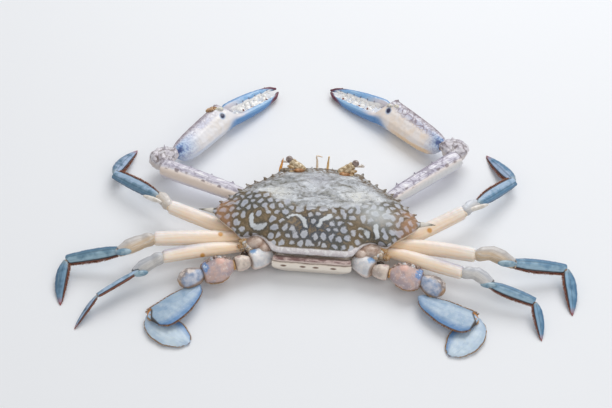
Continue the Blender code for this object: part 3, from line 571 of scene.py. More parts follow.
def limbFrame(points, lead, side):
    # the piece's own directions: along it, across its width toward the front, and up through it
    centre = points.mean(0)
    spread = points - centre
    sizes, axes = np.linalg.eigh(spread.T @ spread)
    along = axes[:, 2] if sizes[2] > 1.8 * sizes[1] else lead / np.linalg.norm(lead)
    along = along * (1 if along @ lead > 0 else -1)
    flat = spread - np.outer(spread @ along, along)
    sizes, axes = np.linalg.eigh(flat.T @ flat)
    up = axes[:, 1] if sizes[2] > 1.25 * sizes[1] else np.array((0, 0, 1.0)) - along * along[2]
    up = up / np.linalg.norm(up) * (1 if up[2] > 0 else -1)
    across = np.cross(up, along) * side
    return centre, along, across, up


def layAlong(piece, lead, side):
    # where each point lies: along 0 to 1, across -1 to 1 toward the front edge, height -1 to 1
    points = pointsOf(piece)
    centre, alongWay, acrossWay, upWay = limbFrame(points, lead, side)
    spread = points - centre
    run, wide, tall = spread @ alongWay, spread @ acrossWay, spread @ upWay
    share = (run - run.min()) / (run.max() - run.min())
    slices = 40
    bins = np.clip((share * slices).astype(int), 0, slices - 1)
    edges = np.zeros((slices, 2))
    for index in range(slices):
        inside = wide[bins == index]
        edges[index] = (inside.min(), inside.max()) if len(inside) else edges[max(index - 1, 0)]
    soft = np.array([edges[max(index - 1, 0):index + 2].mean(0) for index in range(slices)])
    places = (np.arange(slices) + 0.5) / slices
    low, high = np.interp(share, places, soft[:, 0]), np.interp(share, places, soft[:, 1])
    across = 2 * (wide - low) / np.maximum(high - low, 0.5) - 1
    height = tall / np.abs(tall).max()
    writeFields(piece, along=share, across=across, height=height)
    return SimpleNamespace(points=points, along=share, across=across, height=height, wide=wide, tall=tall,
                           run=run, alongWay=alongWay, acrossWay=acrossWay, upWay=upWay, centre=centre)


def limbSkins(limb, key, settings):
    # the skins of one limb from its root outward, each with its index, part, node name and lay
    names = [f"{limb}_{part}_{key}" for part in settings["grain"]]
    centres = [middleOf(name) for name in names]
    root = centres[0] * (0.3, 0.3, 1)
    if "root" in settings:
        root = np.array(settings["root"]) * (sides[key], 1, 1)
    centres = [root] + centres + [2 * centres[-1] - centres[-2]]
    for index, (part, grain) in enumerate(settings["grain"].items()):
        rounds, cap = settings["smooth"].get(part, settings["smooth"]["rest"])
        piece = skinOf(names[index], grain=grain, rounds=rounds, cap=cap)
        lay = layAlong(piece, centres[index + 2] - centres[index], sides[key])
        yield index, part, names[index], piece, lay


def edgeCurve(lay, edge, start, end, count):
    # points spread along one edge of a flat piece; edge is 1 for the front edge and -1 for the rear one
    steps = 36
    spots = []
    for place in np.linspace(start, end, steps):
        near = np.abs(lay.along - place) < 0.02
        score = lay.across[near] * edge
        best = np.argsort(score)[-4:]
        spots.append(lay.points[near][best].mean(0))
    spots = np.array(spots)
    spots[1:-1] = (spots[:-2] + 2 * spots[1:-1] + spots[2:]) / 4
    picks, run = np.linspace(0, 1, count), np.linspace(0, 1, steps)
    return np.stack([np.interp(picks, run, spots[:, axis]) for axis in range(3)], axis=1)


def hairPoints(root, out, beside, wide, length, sway):
    # one hair: a ring of three at its root, one half way up, and its tip
    across = np.cross(out, beside)
    across = across / np.linalg.norm(across)
    corners = []
    for share, thick, sunk in ((0.0, 1.0, 0.35), (0.5, 0.8, 0.0)):
        middle = root + out * (length * share - sunk) + beside * sway * share ** 2 * length
        for turn in range(3):
            angle = 2 * math.pi * turn / 3
            around = beside * math.cos(angle) + across * 0.6 * math.sin(angle)
            corners.append(middle + around * wide * thick)
    return corners + [root + out * length + beside * sway * length]


def hairFaces(first):
    # the faces of one hair whose first corner has the given number
    faces = [(first + 2, first + 1, first)]
    for turn in range(3):
        after = (turn + 1) % 3
        faces.append((first + turn, first + after, first + 3 + after, first + 3 + turn))
        faces.append((first + 3 + turn, first + 3 + after, first + 6))
    return faces


def unwrapHairs(mesh, patches):
    # each hair is a tiny ring on the map, at the place of its root in the box
    perHair, ring = 7, 0.0014
    layer = mesh.uv_layers.new(name="OFBake")
    loops = np.empty(len(mesh.loops), np.int32)
    mesh.loops.foreach_get("vertex_index", loops)
    angle = (loops % perHair) * 2 * math.pi / perHair
    turned = np.stack([np.cos(angle), np.sin(angle)], axis=1)
    spots = np.array(patches)[loops // perHair] + ring * turned
    layer.data.foreach_set("uv", spots.astype(np.float32).ravel())


def fringe(name, box, rows):
    # fine bristles as one closed mesh; each row is root, way out, way beside, thickness, length and sway
    corners, faces, patches = [], [], []
    low, high = [np.array(corner) / mm for corner in box]
    for row in rows:
        faces += hairFaces(len(corners))
        corners += hairPoints(*row)
        share = (row[0][:2] - low[:2]) / np.maximum(high[:2] - low[:2], 1)
        patches.append(0.03 + 0.94 * share)
    mesh = bpy.data.meshes.new(name)
    mesh.from_pydata([tuple(corner * mm) for corner in np.array(corners)], [], faces)
    piece = bpy.data.objects.new(name, mesh)
    bpy.context.collection.objects.link(piece)
    writeFields(piece, tip=[0.0, 0.0, 0.0, 0.5, 0.5, 0.5, 1.0] * len(rows))
    unwrapHairs(mesh, patches)
    bpy.context.view_layer.objects.active = piece
    piece.select_set(True)
    bpy.ops.object.mode_set(mode="EDIT")
    bpy.ops.mesh.select_all(action="SELECT")
    bpy.ops.mesh.normals_make_consistent(inside=False)
    bpy.ops.object.mode_set(mode="OBJECT")
    piece.select_set(False)
    return piece


def edgeRows(lay, edge, start, end, count, length, seed, lean=0.35, wide=0.16, rows=2):
    # bristle rows that stand out from an edge; length is at the start, middle and end
    dice = np.random.default_rng(seed)
    made = []
    for row in range(rows):
        roots = edgeCurve(lay, edge, start, end, count)
        beside = np.gradient(roots, axis=0)
        beside /= np.linalg.norm(beside, axis=1, keepdims=True)
        for index, (root, way) in enumerate(zip(roots, beside)):
            out = lay.acrossWay * edge + way * (lean + dice.normal(0, 0.14))
            out = out + lay.upWay * dice.normal(0, 0.16)
            out = out - way * (out @ way) * 0.2
            out /= np.linalg.norm(out)
            reach = np.interp(index / count, [0, 0.5, 1], length) * dice.uniform(0.7, 1.15)
            spot = root + way * dice.uniform(-0.2, 0.2) + lay.upWay * dice.uniform(-0.25, 0.25)
            made.append((spot, out, way, wide * dice.uniform(0.8, 1.3), reach, dice.normal(0.08, 0.10)))
    return made


def addLump(name, centre, radii, turn=(0, 0, 0), wrinkle=0.3, size=3.0, seed=0.0, detail=3):
    # a soft lump: a round primitive stretched, subdivided and roughened
    bpy.ops.object.select_all(action="DESELECT")
    bpy.ops.mesh.primitive_ico_sphere_add(subdivisions=detail, radius=mm, location=(0, 0, 0))
    piece = bpy.context.object
    piece.name = name
    piece.scale = radii
    piece.rotation_euler = [math.radians(angle) for angle in turn]
    piece.location = Vector(centre) * mm
    bpy.ops.object.transform_apply(location=True, rotation=True, scale=True)
    applyModifier(piece, "SUBSURF", levels=1, render_levels=1)
    points, normals = pointsOf(piece), normalsOf(piece)
    movePoints(piece, points + normals * (wrinkle * ripple(points, size, seed))[:, None])
    return piece


def walkMerusPaint(name, shade):
    paint = Paint(name, 0.34, 0.25, 0.28, flesh=(0.15, (0.004, 0.002, 0.001), 0.5))
    cloud = paint.noise(6.0, detail=2.0)
    place = paint.stir("along", cloud, 0.2)
    low = paint.ramp(place, [(0.0, "d8965c"), (0.16, "ecc090"), (0.45, "f4dabc"), (0.8, "f4e0ca"),
                             (1.0, "eee4d8")])
    high = paint.ramp(place, [(0.0, "eabc8e"), (0.18, "f6dcc2"), (0.5, "f2e4d8"), (0.85, "eee8e6"),
                              (1.0, "f0eeee")])
    colour = paint.layers(low, [("across", -0.45, 0.55, 1, high)])
    streak = paint.streaks(1.6, 4.0)
    colour = paint.layers(colour, [
        (streak, 0.52, 0.66, 0.5, "fcf6f0"), (streak, 0.46, 0.34, 0.35, "e0b68e"),
        # the near-white strip along the front edge, on the side facing the back lamp, is a painted
        # highlight
        ("across", 0.62, 0.86, 0.6, "faf6f2")])
    patch = paint.times(paint.step("along", 0.5, 0.85), paint.step("across", 0.0, 0.7))
    colour = paint.layers(colour, [(paint.times(patch, shade), "a4a2b4"), ("spot", "d69c4e")])
    return paint.finish(colour, [(paint.noise(0.9, detail=3.0), 0.1, 0.2)])


def walkCarpusPaint(name, low, high):
    paint = Paint(name, 0.34, 0.25, 0.25)
    streak = paint.streaks(1.8, 5.0)
    fine = paint.streaks(3.0, 14.0)
    colour = paint.layers(low, [
        ("across", -0.5, 0.5, 1, high), (streak, 0.5, 0.66, 0.5, "e2e0de"),
        (fine, 0.5, 0.38, 0.35, "8e8e94")])
    edge = paint.step(paint.off("along", 0.95), 0.035, 0.012, 0.0, 0.75)
    colour = paint.mix(edge, colour, "4a403e")
    return paint.finish(colour, [(fine, 0.15, 0.25)])


def walkBladePaint(name, deep, light, rustSide, dactyl):
    paint = Paint(name, 0.32, 0.25, 0.22)
    along, across = "along", paint.times("across", rustSide)
    streak, fine, cloud = paint.streaks(1.5, 3.2), paint.streaks(2.5, 12.0), paint.noise(5.0, detail=2.0)
    colour = paint.layers(deep, [
        (paint.plus(paint.times(across, 0.25), cloud), 0.3, 0.66, 1, light),
        (streak, 0.56, 0.68, 0.35, "b8ccd8"), (fine, 0.46, 0.36, 0.35, "3e607a")])
    groove = 0.1 if dactyl else -0.35
    off = paint.off(paint.plus(across, paint.times(streak, 0.3)), groove + 0.15)
    colour = paint.layers(colour, [
        (off, 0.13, 0.03, 0.45, "2e4e68"), (across, -0.45, -0.75, 0.45, "426a92"),
        (across, -0.86, -0.98, 0.6, "283040"), (across, 0.68, 0.82, 0.95, "241c20"),
        (across, 0.9, 0.96, 1, "8c4a32"), (along, 0.16, 0.02, 0.7, "96a6ac")])
    if dactyl:
        colour = paint.layers(colour, [
            (along, 0.8, 0.93, 0.85, "a28696"), (along, 0.91, 0.98, 0.95, "96423e")])
    return paint.finish(colour, [(fine, 0.12, 0.2)])


def fringePaint(name, root, tipTone, middle=None):
    paint = Paint(name, 0.55)
    vary = paint.noise(1.6, detail=2.0)
    stops = [(0.0, root), (0.5, middle or root), (1.0, tipTone)]
    colour = paint.ramp("tip", stops)
    colour = paint.layers(colour, [(vary, 0.4, 0.6, 0.35, tipTone)])
    return paint.finish(colour)


rustFringe = fringePaint("rustFringe", "2c1a18", "be8a6a", "864830")
paleFringe = fringePaint("paleFringe", "c4b8aa", "f4f2ee", "e4ded6")
goldFringe = fringePaint("goldFringe", "704a2a", "ceac76", "ba8a4a")
bladeTones = {"l": ("62869e", "98b8ca"), "r": ("628cac", "90b2c8")}
endTones = {"l": ("486e8a", "7498b4"), "r": ("5280a4", "84acca")}
wristTones = {"l": ("ccc0b2", "ded8d4"), "r": ("c2c2c4", "d2d8e2")}
walkPaints = {}
for key in sides:
    for limb, rustSide in (("walk1", 1.0), ("walk2", -1.0), ("walk3", -1.0)):
        (deep, light), (endDeep, endLight) = bladeTones[key], endTones[key]
        if limb == "walk1" or (limb, key) == ("walk3", "l"):
            light, endLight = "a4beda", "9eb4d2"
        walkPaints[limb, "propodus", key] = walkBladePaint(f"{limb}PropodusPaint_{key}", deep, light,
                                                           rustSide, False)
        walkPaints[limb, "dactyl", key] = walkBladePaint(f"{limb}DactylPaint_{key}", endDeep, endLight,
                                                         rustSide, True)
    walkPaints["walk1", "carpus", key] = walkCarpusPaint(f"walk1CarpusPaint_{key}", *wristTones[key])
    walkPaints["walk2", "carpus", key] = walkCarpusPaint(f"walk2CarpusPaint_{key}", "ceb698", "bebab8")
    walkPaints["walk3", "carpus", key] = walkCarpusPaint(f"walk3CarpusPaint_{key}", "c8c6c4", "bcc0c8")
    for limb in ("walk1", "walk2", "walk3"):
        walkPaints[limb, "merus", key] = walkMerusPaint(f"{limb}MerusPaint_{key}",
                                                        0.75 if limb == "walk3" else 0.1)


def plainPaint(name, low, high, size, rough=0.35, coat=0.3):
    paint = Paint(name, rough, coat, 0.2)
    mottle = paint.noise(size, detail=4.0, rough=0.6)
    return paint.finish(paint.mix(paint.step(mottle, 0.38, 0.62), low, high), [(mottle, 0.25, 0.25)])


def jointPaint(name, low, high):
    paint = Paint(name, 0.45, flesh=(0.15, (0.004, 0.002, 0.001), 0.5))
    fold = paint.noise(1.2, detail=3.0)
    return paint.finish(paint.mix(paint.step(fold, 0.38, 0.62), low, high), [(fold, 0.35, 0.4)])


paleJoint = jointPaint("paleJoint", "d6bc9e", "eadccc")
brownJoint = jointPaint("brownJoint", "78563e", "b08c6a")


def addSpindle(name, start, end, width, depth, material, slot, wrinkle=0.1, seed=1.0):
    # a soft lump stretched from one place to another
    start, end = np.array(start, float), np.array(end, float)
    turn = Vector(end - start).to_track_quat("X", "Z").to_euler()
    piece = addLump(name, (start + end) / 2, (np.linalg.norm(end - start) / 2 + 0.6, width, depth),
                    [math.degrees(angle) for angle in turn], wrinkle=wrinkle, size=2.0, seed=seed)
    return finishPiece(piece, material, (), slot)


def addKnuckle(first, second, share, material, slot):
    # soft skin that fills the gap between two limb pieces, round the pairs of points that lie nearest
    pairs = 60
    ends = [np.unique(pointsOf(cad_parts[name]).round(2), axis=0) for name in (first, second)]
    reach = np.linalg.norm(ends[0][:, None, :] - ends[1][None, :, :], axis=2)
    near = np.unravel_index(np.argsort(reach, axis=None)[:pairs], reach.shape)
    centre = (ends[0][near[0]].mean(0) + ends[1][near[1]].mean(0)) / 2
    spread = np.linalg.norm(ends[1][near[1]] - centre, axis=1).mean()
    radius = max(1.0, spread * share)
    piece = addLump(f"joint_{first}", centre, (radius, radius, radius * 0.85), wrinkle=0.12, size=1.6,
                    seed=len(first))
    finishPiece(piece, material, (), slot)


def addSleeve(name, lay, place, share, material, slot):
    # a rounded soft end on a limb piece, as wide as the piece itself
    near = np.abs(lay.along - place) < 0.03
    wide, tall = lay.wide[near], lay.tall[near]
    centre = (lay.centre + lay.alongWay * lay.run[near].mean() + lay.acrossWay * np.median(wide)
              + lay.upWay * np.median(tall))
    radii = (np.ptp(wide) / 2 * 0.85, np.ptp(wide) / 2 * share, np.ptp(tall) / 2 * share)
    turn = Vector(lay.alongWay).to_track_quat("X", "Z").to_euler()
    piece = addLump(name, centre, radii, [math.degrees(angle) for angle in turn], wrinkle=0.06, size=2.0,
                    seed=place)
    spread = pointsOf(piece) - centre
    writeFields(piece, along=spread @ lay.alongWay / (radii[0] * 2.4) + place,
                across=spread @ lay.acrossWay / radii[1], height=spread @ lay.upWay / radii[2])
    finishPiece(piece, material, (), slot)


walking = {
    "grain": {"merus": 0.55, "carpus": 0.45, "propodus": 0.45, "dactyl": 0.40},
    "smooth": {"rest": (6, 0.22)},
    "grooves": (0.35, -0.30), "grooveDepth": 0.26, "armSwell": 0.45, "armTaper": 1.3,
    "wristSwell": 1.5, "wristRise": 0.3, "hairGap": 0.22,
    # how long the bristles are at the start, middle and end of their edge
    "hair": {"propodus": [0.9, 1.4, 1.2], "dactyl": [1.4, 1.3, 0.4]}, "frontTipHair": [2.4, 1.3, 0.4],
    "orangeSpots": [(-57.4, -12.8, 14.1), (-65.9, -29.9, 12.8), (69.5, 3.3, 13.5)],
    # where the upper end of a leg blade shows beside the wrist: ends in mm, width and depth
    "laps": {("walk1", "l"): ((-109.4, 12.0, 18.0), (-97.5, 7.6, 18.0), 1.6, 1.6),
             ("walk1", "r"): ((105.2, 25.9, 17.0), (92.0, 19.2, 17.0), 1.6, 1.6),
             ("walk2", "l"): ((-117.0, -36.2, 17.0), (-108.3, -34.4, 17.0), 2.3, 2.0),
             ("walk2", "r"): ((110.4, -24.4, 18.6), (120.8, -24.2, 18.6), 2.1, 2.0),
             ("walk3", "l"): ((-104.0, -48.0, 11.5), (-96.6, -45.2, 11.5), 1.9, 1.8),
             ("walk3", "r"): ((100.6, -38.0, 14.0), (110.2, -38.2, 14.0), 2.0, 1.9)},
}
lapPaints = {"leg_blade": plainPaint("bladeRootPaint", "688ca4", "9cb6c4", 5.0),
             "leg_upper": plainPaint("wristLapPaint", "d6cec4", "eeeae6", 4.0)}


def buildWalkingLeg(limb, key):
    front = limb == "walk1"
    for index, part, name, piece, lay in limbSkins(limb, key, walking):
        lift = 0.06 * ripple(lay.points, 2.5, index)
        if part == "merus":
            lift += walking["armSwell"] - walking["armTaper"] * smoothStep(lay.along, 0.965, 1.0) ** 2
            away = [np.linalg.norm(lay.points - place, axis=1) for place in walking["orangeSpots"]]
            writeFields(piece, spot=smoothStep(np.min(away, axis=0), 2.0, 1.0))
        elif part == "carpus":
            lift += walking["wristSwell"] * smoothStep(lay.along, 0.34, 0.06)
            lift += walking["wristRise"] * smoothStep(lay.along, 0.75, 0.5)
        else:
            body = smoothStep(lay.along, 0.05, 0.18) * smoothStep(lay.along, 0.97, 0.80)
            for place in walking["grooves"]:
                lift -= walking["grooveDepth"] * bell(lay.across - place, 0.13) * body
        movePoints(piece, lay.points + normalsOf(piece) * lift[:, None])
        slot = "leg_blade" if part in walking["hair"] else "leg_upper"
        finishPiece(piece, walkPaints[limb, part, key], [name], slot)
        if part == "merus":
            addSleeve(f"{limb}_sleeve_{key}", lay, 0.965, 0.93, paleJoint, slot)
        if part in walking["hair"]:
            reach = walking["frontTipHair"] if front and part == "dactyl" else walking["hair"][part]
            count = int(np.ptp(lay.run) / walking["hairGap"])
            rows = edgeRows(lay, 1 if front else -1, 0.04, 0.95, count, reach, 40 + index, lean=0.55)
            finishPiece(fringe(f"{limb}_{part}_fringe_{key}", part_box(name), rows), rustFringe, (), slot)
    if front:
        addKnuckle(f"{limb}_carpus_{key}", f"{limb}_propodus_{key}", 0.8, paleJoint, "leg_upper")
    addKnuckle(f"{limb}_propodus_{key}", f"{limb}_dactyl_{key}", 0.85, brownJoint, "leg_blade")
    slot = "leg_upper" if front else "leg_blade"
    addSpindle(f"{limb}_lap_{key}", *walking["laps"][limb, key], lapPaints[slot], slot, wrinkle=0.02)


for limb in ("walk1", "walk2", "walk3"):
    for key in sides:
        buildWalkingLeg(limb, key)
print("walking legs ready")


def swimRootPaint(name, base, accent, patch, warm, core):
    # pale lumps of the swimming leg: a milky base, accents in clouds, a blue patch on the outer side
    paint = Paint(name, 0.38, 0.2, 0.25, flesh=(0.12, (0.003, 0.002, 0.002), 0.5))
    cloud = paint.noise(4.5, detail=3.0, rough=0.55)
    fine = paint.noise(1.5, detail=3.0, rough=0.6)
    colour = paint.layers(base, [
        (cloud, 0.38, 0.62, 1, accent), (fine, 0.54, 0.68, 0.5, "e8e2e0"),
        ("height", 0.1, -0.5, 0.8, "e2cec2")])
    bump = paint.step("bump", 0.25, 0.8)
    colour = paint.mix(bump, colour, warm)
    brown = paint.times(paint.step("across", 0.3, 0.75), paint.step(fine, 0.66, 0.42))
    colour = paint.mix(paint.times(brown, 0.85), colour, "705c52")
    ragged = paint.stir("patch", fine, 1.5)
    colour = paint.layers(colour, [
        (ragged, 0.25, 0.75, 0.9, patch), (ragged, 0.86, 1.1, core, "dce8f2"),
        ("across", 0.9, 1.0, 0.6, "cecac8"), ("along", 0.1, 0.0, 0.7, "bc9464"),
        ("along", 0.93, 1.0, 0.7, "967454")])
    return paint.finish(colour, [(fine, 0.25, 0.35)])


def swimCarpusPaint():
    paint = Paint("swimCarpusPaint", 0.33, 0.28, 0.22)
    cloud, fine = paint.noise(3.6, detail=2.0), paint.noise(1.2, detail=3.0)
    outer = paint.layers("928886", [(cloud, 0.48, 0.62, 1, "d4c8c2")])
    inner = paint.layers("8698b6", [(cloud, 0.34, 0.66, 1, "b8bece")])
    split = paint.stir("across", cloud, 1.1)
    colour = paint.layers(inner, [
        (split, -0.15, 0.35, 1, outer), (fine, 0.54, 0.7, 0.5, "d0cccc"),
        (paint.off("across", 0), 0.88, 0.98, 0.75, "967042"), ("along", 0.9, 0.98, 0.8, "b08248")])
    return paint.finish(colour, [(fine, 0.15, 0.25)])


def paddlePaint(name, edgeTone, deepEdge, shade):
    paint = Paint(name, 0.36, 0.16, 0.25, flesh=(0.1, (0.002, 0.002, 0.003), 0.5))
    cloud, streak = paint.noise(8.0, detail=2.0), paint.streaks(1.6, 5.0)
    fine, mist = paint.noise(1.1, detail=4.0, rough=0.65), paint.noise(3.5, detail=3.0, rough=0.6)
    colour = paint.layers("94b2ce", [
        (cloud, 0.34, 0.64, 1, "b6ccde"), (mist, 0.52, 0.66, 0.35, "ccd8e2"),
        (mist, 0.46, 0.34, 0.35, "8ca4c8"), (abs(shade), "7890aa" if shade < 0 else "d8e4ec"),
        (streak, 0.44, 0.32, 0.35, "7e9ebe"), ("along", 0.35, 0.02, 0.35, "8aa6cc")])
    deep = paint.times(paint.step(paint.times("across", deepEdge), 0.35, 0.92),
                       paint.step(cloud, 0.25, 0.55, 0.4, 1.0))
    colour = paint.mix(paint.times(deep, 0.85), colour, "4e82ba")
    past = paint.step("lobe", 0.3, 0.9)
    colour = paint.layers(colour, [(past, "a8c6e2"), (fine, 0.56, 0.7, 0.3, "d6dee4")])
    rim = paint.calc("MAXIMUM", paint.step(paint.off("across", 0), 0.955, 0.985),
                     paint.step("along", 0.98, 0.997))
    colour = paint.layers(colour, [
        (paint.times(rim, 0.8), edgeTone), (paint.times("lobeLine", 0.94), "3c3228"),
        ("hingeTone", "b87a32")])
    return paint.finish(colour, [(fine, 0.1, 0.2), (streak, 0.1, 0.3)])


swimming = {
    "grain": {"coxa": 0.45, "basis": 0.45, "merus": 0.45, "carpus": 0.45, "propodus": 0.42, "dactyl": 0.42},
    "smooth": {"coxa": (45, 1.3), "basis": (45, 1.3), "rest": (8, 0.3)}, "root": (18.0, -17.0, 10.0),
    "slots": {"coxa": "swim_root", "basis": "swim_root", "merus": "swim_arm", "carpus": "swim_arm",
              "propodus": "paddle", "dactyl": "paddle"},
    # where the warm swelling and the coloured patch lie on each thick piece, along and across
    "bumps": {"coxa": (0.55, 0.45), "basis": (0.7, 0.3), "merus": (0.42, 0.25), "carpus": (0.5, 0.2)},
    "patches": {"coxa": (0.80, 0.50), "basis": (0.2, 0.9), "merus": (0.92, 0.20), "carpus": (2.0, 0.0)},
    # bristle rows: edge, start, end, count, length at the start, middle and end, seed
    "hair": {"merus": [(-1, 0.30, 0.95, 40, [0.8, 1.2, 1.0], 67)],
             "carpus": [(-1, 0.15, 0.95, 50, [0.8, 1.0, 1.0], 65),
                        (1, 0.30, 0.95, 40, [0.8, 1.2, 1.0], 66)],
             "propodus": [(-1, 0.03, 0.98, 120, [0.8, 1.3, 1.1], 61),
                          (1, 0.10, 0.95, 90, [0.6, 0.9, 1.4], 62)],
             "dactyl": [(1, 0.04, 0.98, 100, [0.5, 0.6, 0.5], 63),
                        (-1, 0.04, 0.98, 100, [0.5, 0.8, 0.7], 64)]},
    # small knobs along the front edge of the arm, from its root: place along, length and width in mm, tone
    "knobs": [(0.14, 1.5, 1.5, "brown"), (0.26, 1.8, 1.5, "brown"), (0.39, 1.5, 1.4, "grey"),
              (0.52, 1.9, 1.6, "brown"), (0.64, 1.5, 1.4, "grey"), (0.76, 1.9, 1.5, "brown")],
    # places across the arm's root where the gold ring has its lumps
    "ring": (-0.85, -0.5, -0.1, 0.3),
}


def shapeThickPiece(piece, lay, part, seed):
    # the swollen pieces near the body; returns their lift in mm
    along, across, height = lay.along, lay.across, lay.height
    bumpAlong, bumpAcross = swimming["bumps"][part]
    patchAlong, patchAcross = swimming["patches"][part]
    bump = bell(along - bumpAlong, 0.15) * bell(across - bumpAcross, 0.34) * (height > 0)
    away = ((along - patchAlong) / 0.15) ** 2 + ((across - patchAcross) / 0.60) ** 2
    writeFields(piece, bump=bump * (part in ("merus", "basis")),
                patch=np.exp(-away ** 1.2) * smoothStep(height, -0.3, 0.2))
    lift = 0.22 * ripple(lay.points, 6.0, seed)
    if part == "merus":
        return lift + (0.9 * bump + 0.5 * smoothStep(across, 0.0, 0.8))
    if part == "carpus":
        return lift + 0.7
    return lift + (0.75 - 0.6 * smoothStep(along, 0.86, 1.0) ** 2)


def shapeBlade(piece, lay, part):
    # the flat blades of the paddle, each with a raised vein; returns their lift in mm
    along, across, height = lay.along, lay.across, lay.height
    vein = np.abs(across - 0.15 + 0.1 * np.sin(along * 5))
    lift = 0.14 * bell(vein, 0.08) * smoothStep(along, 0.95, 0.5)
    lift -= 0.12 * bell(np.abs(across) - 0.86, 0.06)
    # the rounded end lobe of the first blade, over the root of the second
    lobe = (along - 0.965 + 0.10 * smoothStep(across, 0.1, 0.85)) * np.ptp(lay.run)
    on = float(part == "propodus") * smoothStep(height, -0.3, 0.1)
    endLine = np.exp(-(lobe / np.interp(across, [-1, 0, 0.6], [0.5, 0.8, 0.8])) ** 4)
    tipLine = smoothStep(along, 0.84, 0.93) * smoothStep(-across, 0.84, 0.92)
    roundLine = smoothStep(along, 0.955, 0.972) * smoothStep(across, 0.2, 0.0)
    writeFields(piece, lobe=smoothStep(lobe, 0.4, 0.9) * on * smoothStep(across, 0.0, 0.3),
                lobeLine=np.max([endLine, tipLine * 0.8, roundLine], axis=0) * on,
                hingeTone=smoothStep(along, 0.84, 0.88) * smoothStep(across, 0.72, 0.84) * on)
    return lift - 0.35 * smoothStep(lobe, 0.3, 1.0) * on


def addKnobs(key, arm):
    # small knobs along the front edge of the arm, and the gold ring round its root
    for index, (place, long, width, tone) in enumerate(swimming["knobs"]):
        near = (np.abs(arm.along - place) < 0.03) & (np.abs(arm.across - 0.66) < 0.10) & (arm.height > 0)
        middle = arm.points[near].mean(0) + (0, 0, 0.2)
        reach = arm.alongWay * long * 0.5
        addSpindle(f"swimKnob{index}_{key}", middle - reach, middle + reach, width, width * 0.8,
                   knobLooks[tone], "swim_arm", wrinkle=0.25, seed=index)
    for index, place in enumerate(swimming["ring"]):
        near = (arm.along < 0.10) & (np.abs(arm.across - place) < 0.2) & (arm.height > -0.2)
        middle = arm.points[near].mean(0)
        addSpindle(f"swimRing{index}_{key}", middle - arm.acrossWay * 0.9, middle + arm.acrossWay * 0.9,
                   0.6, 0.7, knobLooks["gold"], "swim_arm", wrinkle=0.15, seed=index)


def buildSwimmingLeg(key):
    for index, part, name, piece, lay in limbSkins("swim", key, swimming):
        lift = 0.08 * ripple(lay.points, 3.0, 31 + index)
        if part in swimming["bumps"]:
            lift += shapeThickPiece(piece, lay, part, 51 + index)
        else:
            lift += shapeBlade(piece, lay, part)
        movePoints(piece, lay.points + normalsOf(piece) * lift[:, None])
        slot = swimming["slots"][part]
        finishPiece(piece, swimPaints[part], [name], slot)
        if part == "merus":
            arm = lay
        if part == "basis":
            addSleeve(f"swimBead_{key}", lay, 0.5, 1.12, swimPaints[part], slot)
        if part in swimming["hair"]:
            rows = sum([edgeRows(lay, *row) for row in swimming["hair"][part]], [])
            look = darkGoldFringe if part == "propodus" else goldFringe
            finishPiece(fringe(f"swim_{part}_fringe_{key}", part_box(name), rows), look, (), slot)
    parts = list(swimming["grain"])
    for first, second in zip(parts[:-1], parts[1:]):
        blade = swimming["slots"][second] == "paddle"
        addKnuckle(f"swim_{first}_{key}", f"swim_{second}_{key}", 0.6 if second == "dactyl" else 0.8,
                   goldJoint if blade else brownJoint, "paddle" if blade else "swim_arm")
    addKnobs(key, arm)


darkGoldFringe = fringePaint("darkGoldFringe", "3a261c", "c69e68", "966032")
goldJoint = jointPaint("goldJoint", "aa7438", "d6a86c")
knobLooks = {"brown": jointPaint("knobBrownPaint", "705a50", "b09c94"),
             "grey": jointPaint("knobGreyPaint", "96949c", "e0dee0"),
             "gold": jointPaint("knobGoldPaint", "aa7a42", "dcb884")}
swimPaints = {
    "coxa": swimRootPaint("swimCoxaPaint", "ccced4", "e8e6e6", "6898c8", "d6ced0", 0.0),
    "basis": swimRootPaint("swimBasisPaint", "baaca4", "ded0c4", "686874", "bea6a2", 0.0),
    "merus": swimRootPaint("swimMerusPaint", "b0a0a6", "caaea6", "608cc4", "deb4a8", 0.95),
    "carpus": swimCarpusPaint(),
    "propodus": paddlePaint("swimPropodusPaint", "68462c", -1.0, -0.30),
    "dactyl": paddlePaint("swimDactylPaint", "705460", -1.0, 0.32),
}
for key in sides:
    buildSwimmingLeg(key)
print("swimming legs ready")


def clawArmPaint(name, sideTone, patchy):
    # lilac top with fine dark lines and white blotches, dark spots where it turns down, pale side
    paint = Paint(name, 0.36, 0.22, 0.28)
    mottle, streak = paint.noise(1.6, detail=3.0, rough=0.6), paint.streaks(3.5, 5.0)
    web = paint.stir(paint.cells(5.0, feature="DISTANCE_TO_EDGE", where=paint.place((0.55, 0.9, 1.0))),
                     mottle, 0.5)
    top = paint.layers("bcb8ca", [
        (streak, 0.4, 0.6, 1, "dcdae4"), (web, 0.1, 0.0, patchy, "766c84"),
        (web, 0.24, 0.4, 0.8, "f0f0f4")])
    thread = paint.streaks(1.2, 9.0)
    top = paint.layers(top, [(thread, 0.44, 0.36, 0.55, "706c84")])
    low = paint.layers(sideTone, [("across", -0.95, -0.5, 1, "f0e6e2")])
    border = paint.stir("across", streak, 0.5)
    colour = paint.layers(low, [(border, -0.62, -0.34, 1, top)])
    dots = paint.step(paint.cells(3.2, where=paint.place((0.8, 0.6, 0.6))), 0.5, 0.3)
    seam = paint.step(paint.off("across", -0.46), 0.3, 0.12)
    colour = paint.mix(paint.times(dots, seam, 0.75), colour, "685458")
    line = paint.step(paint.off("across", 0.62), 0.1, 0.02, 0.0, 0.6)
    colour = paint.mix(line, colour, "7c7088")
    rimLine = paint.times(paint.step("across", 0.7, 0.84, 0.0, 0.75), paint.step("height", -0.05, 0.3))
    colour = paint.layers(colour, [
        (rimLine, "645c72"), ("height", 0.05, -0.45, 0.6, "cecce0"), ("along", 0.1, 0.0, 0.4, "b09682")])
    return paint.finish(colour, [(mottle, 0.15, 0.25), (paint.noise(0.7), 0.1, 0.2)])


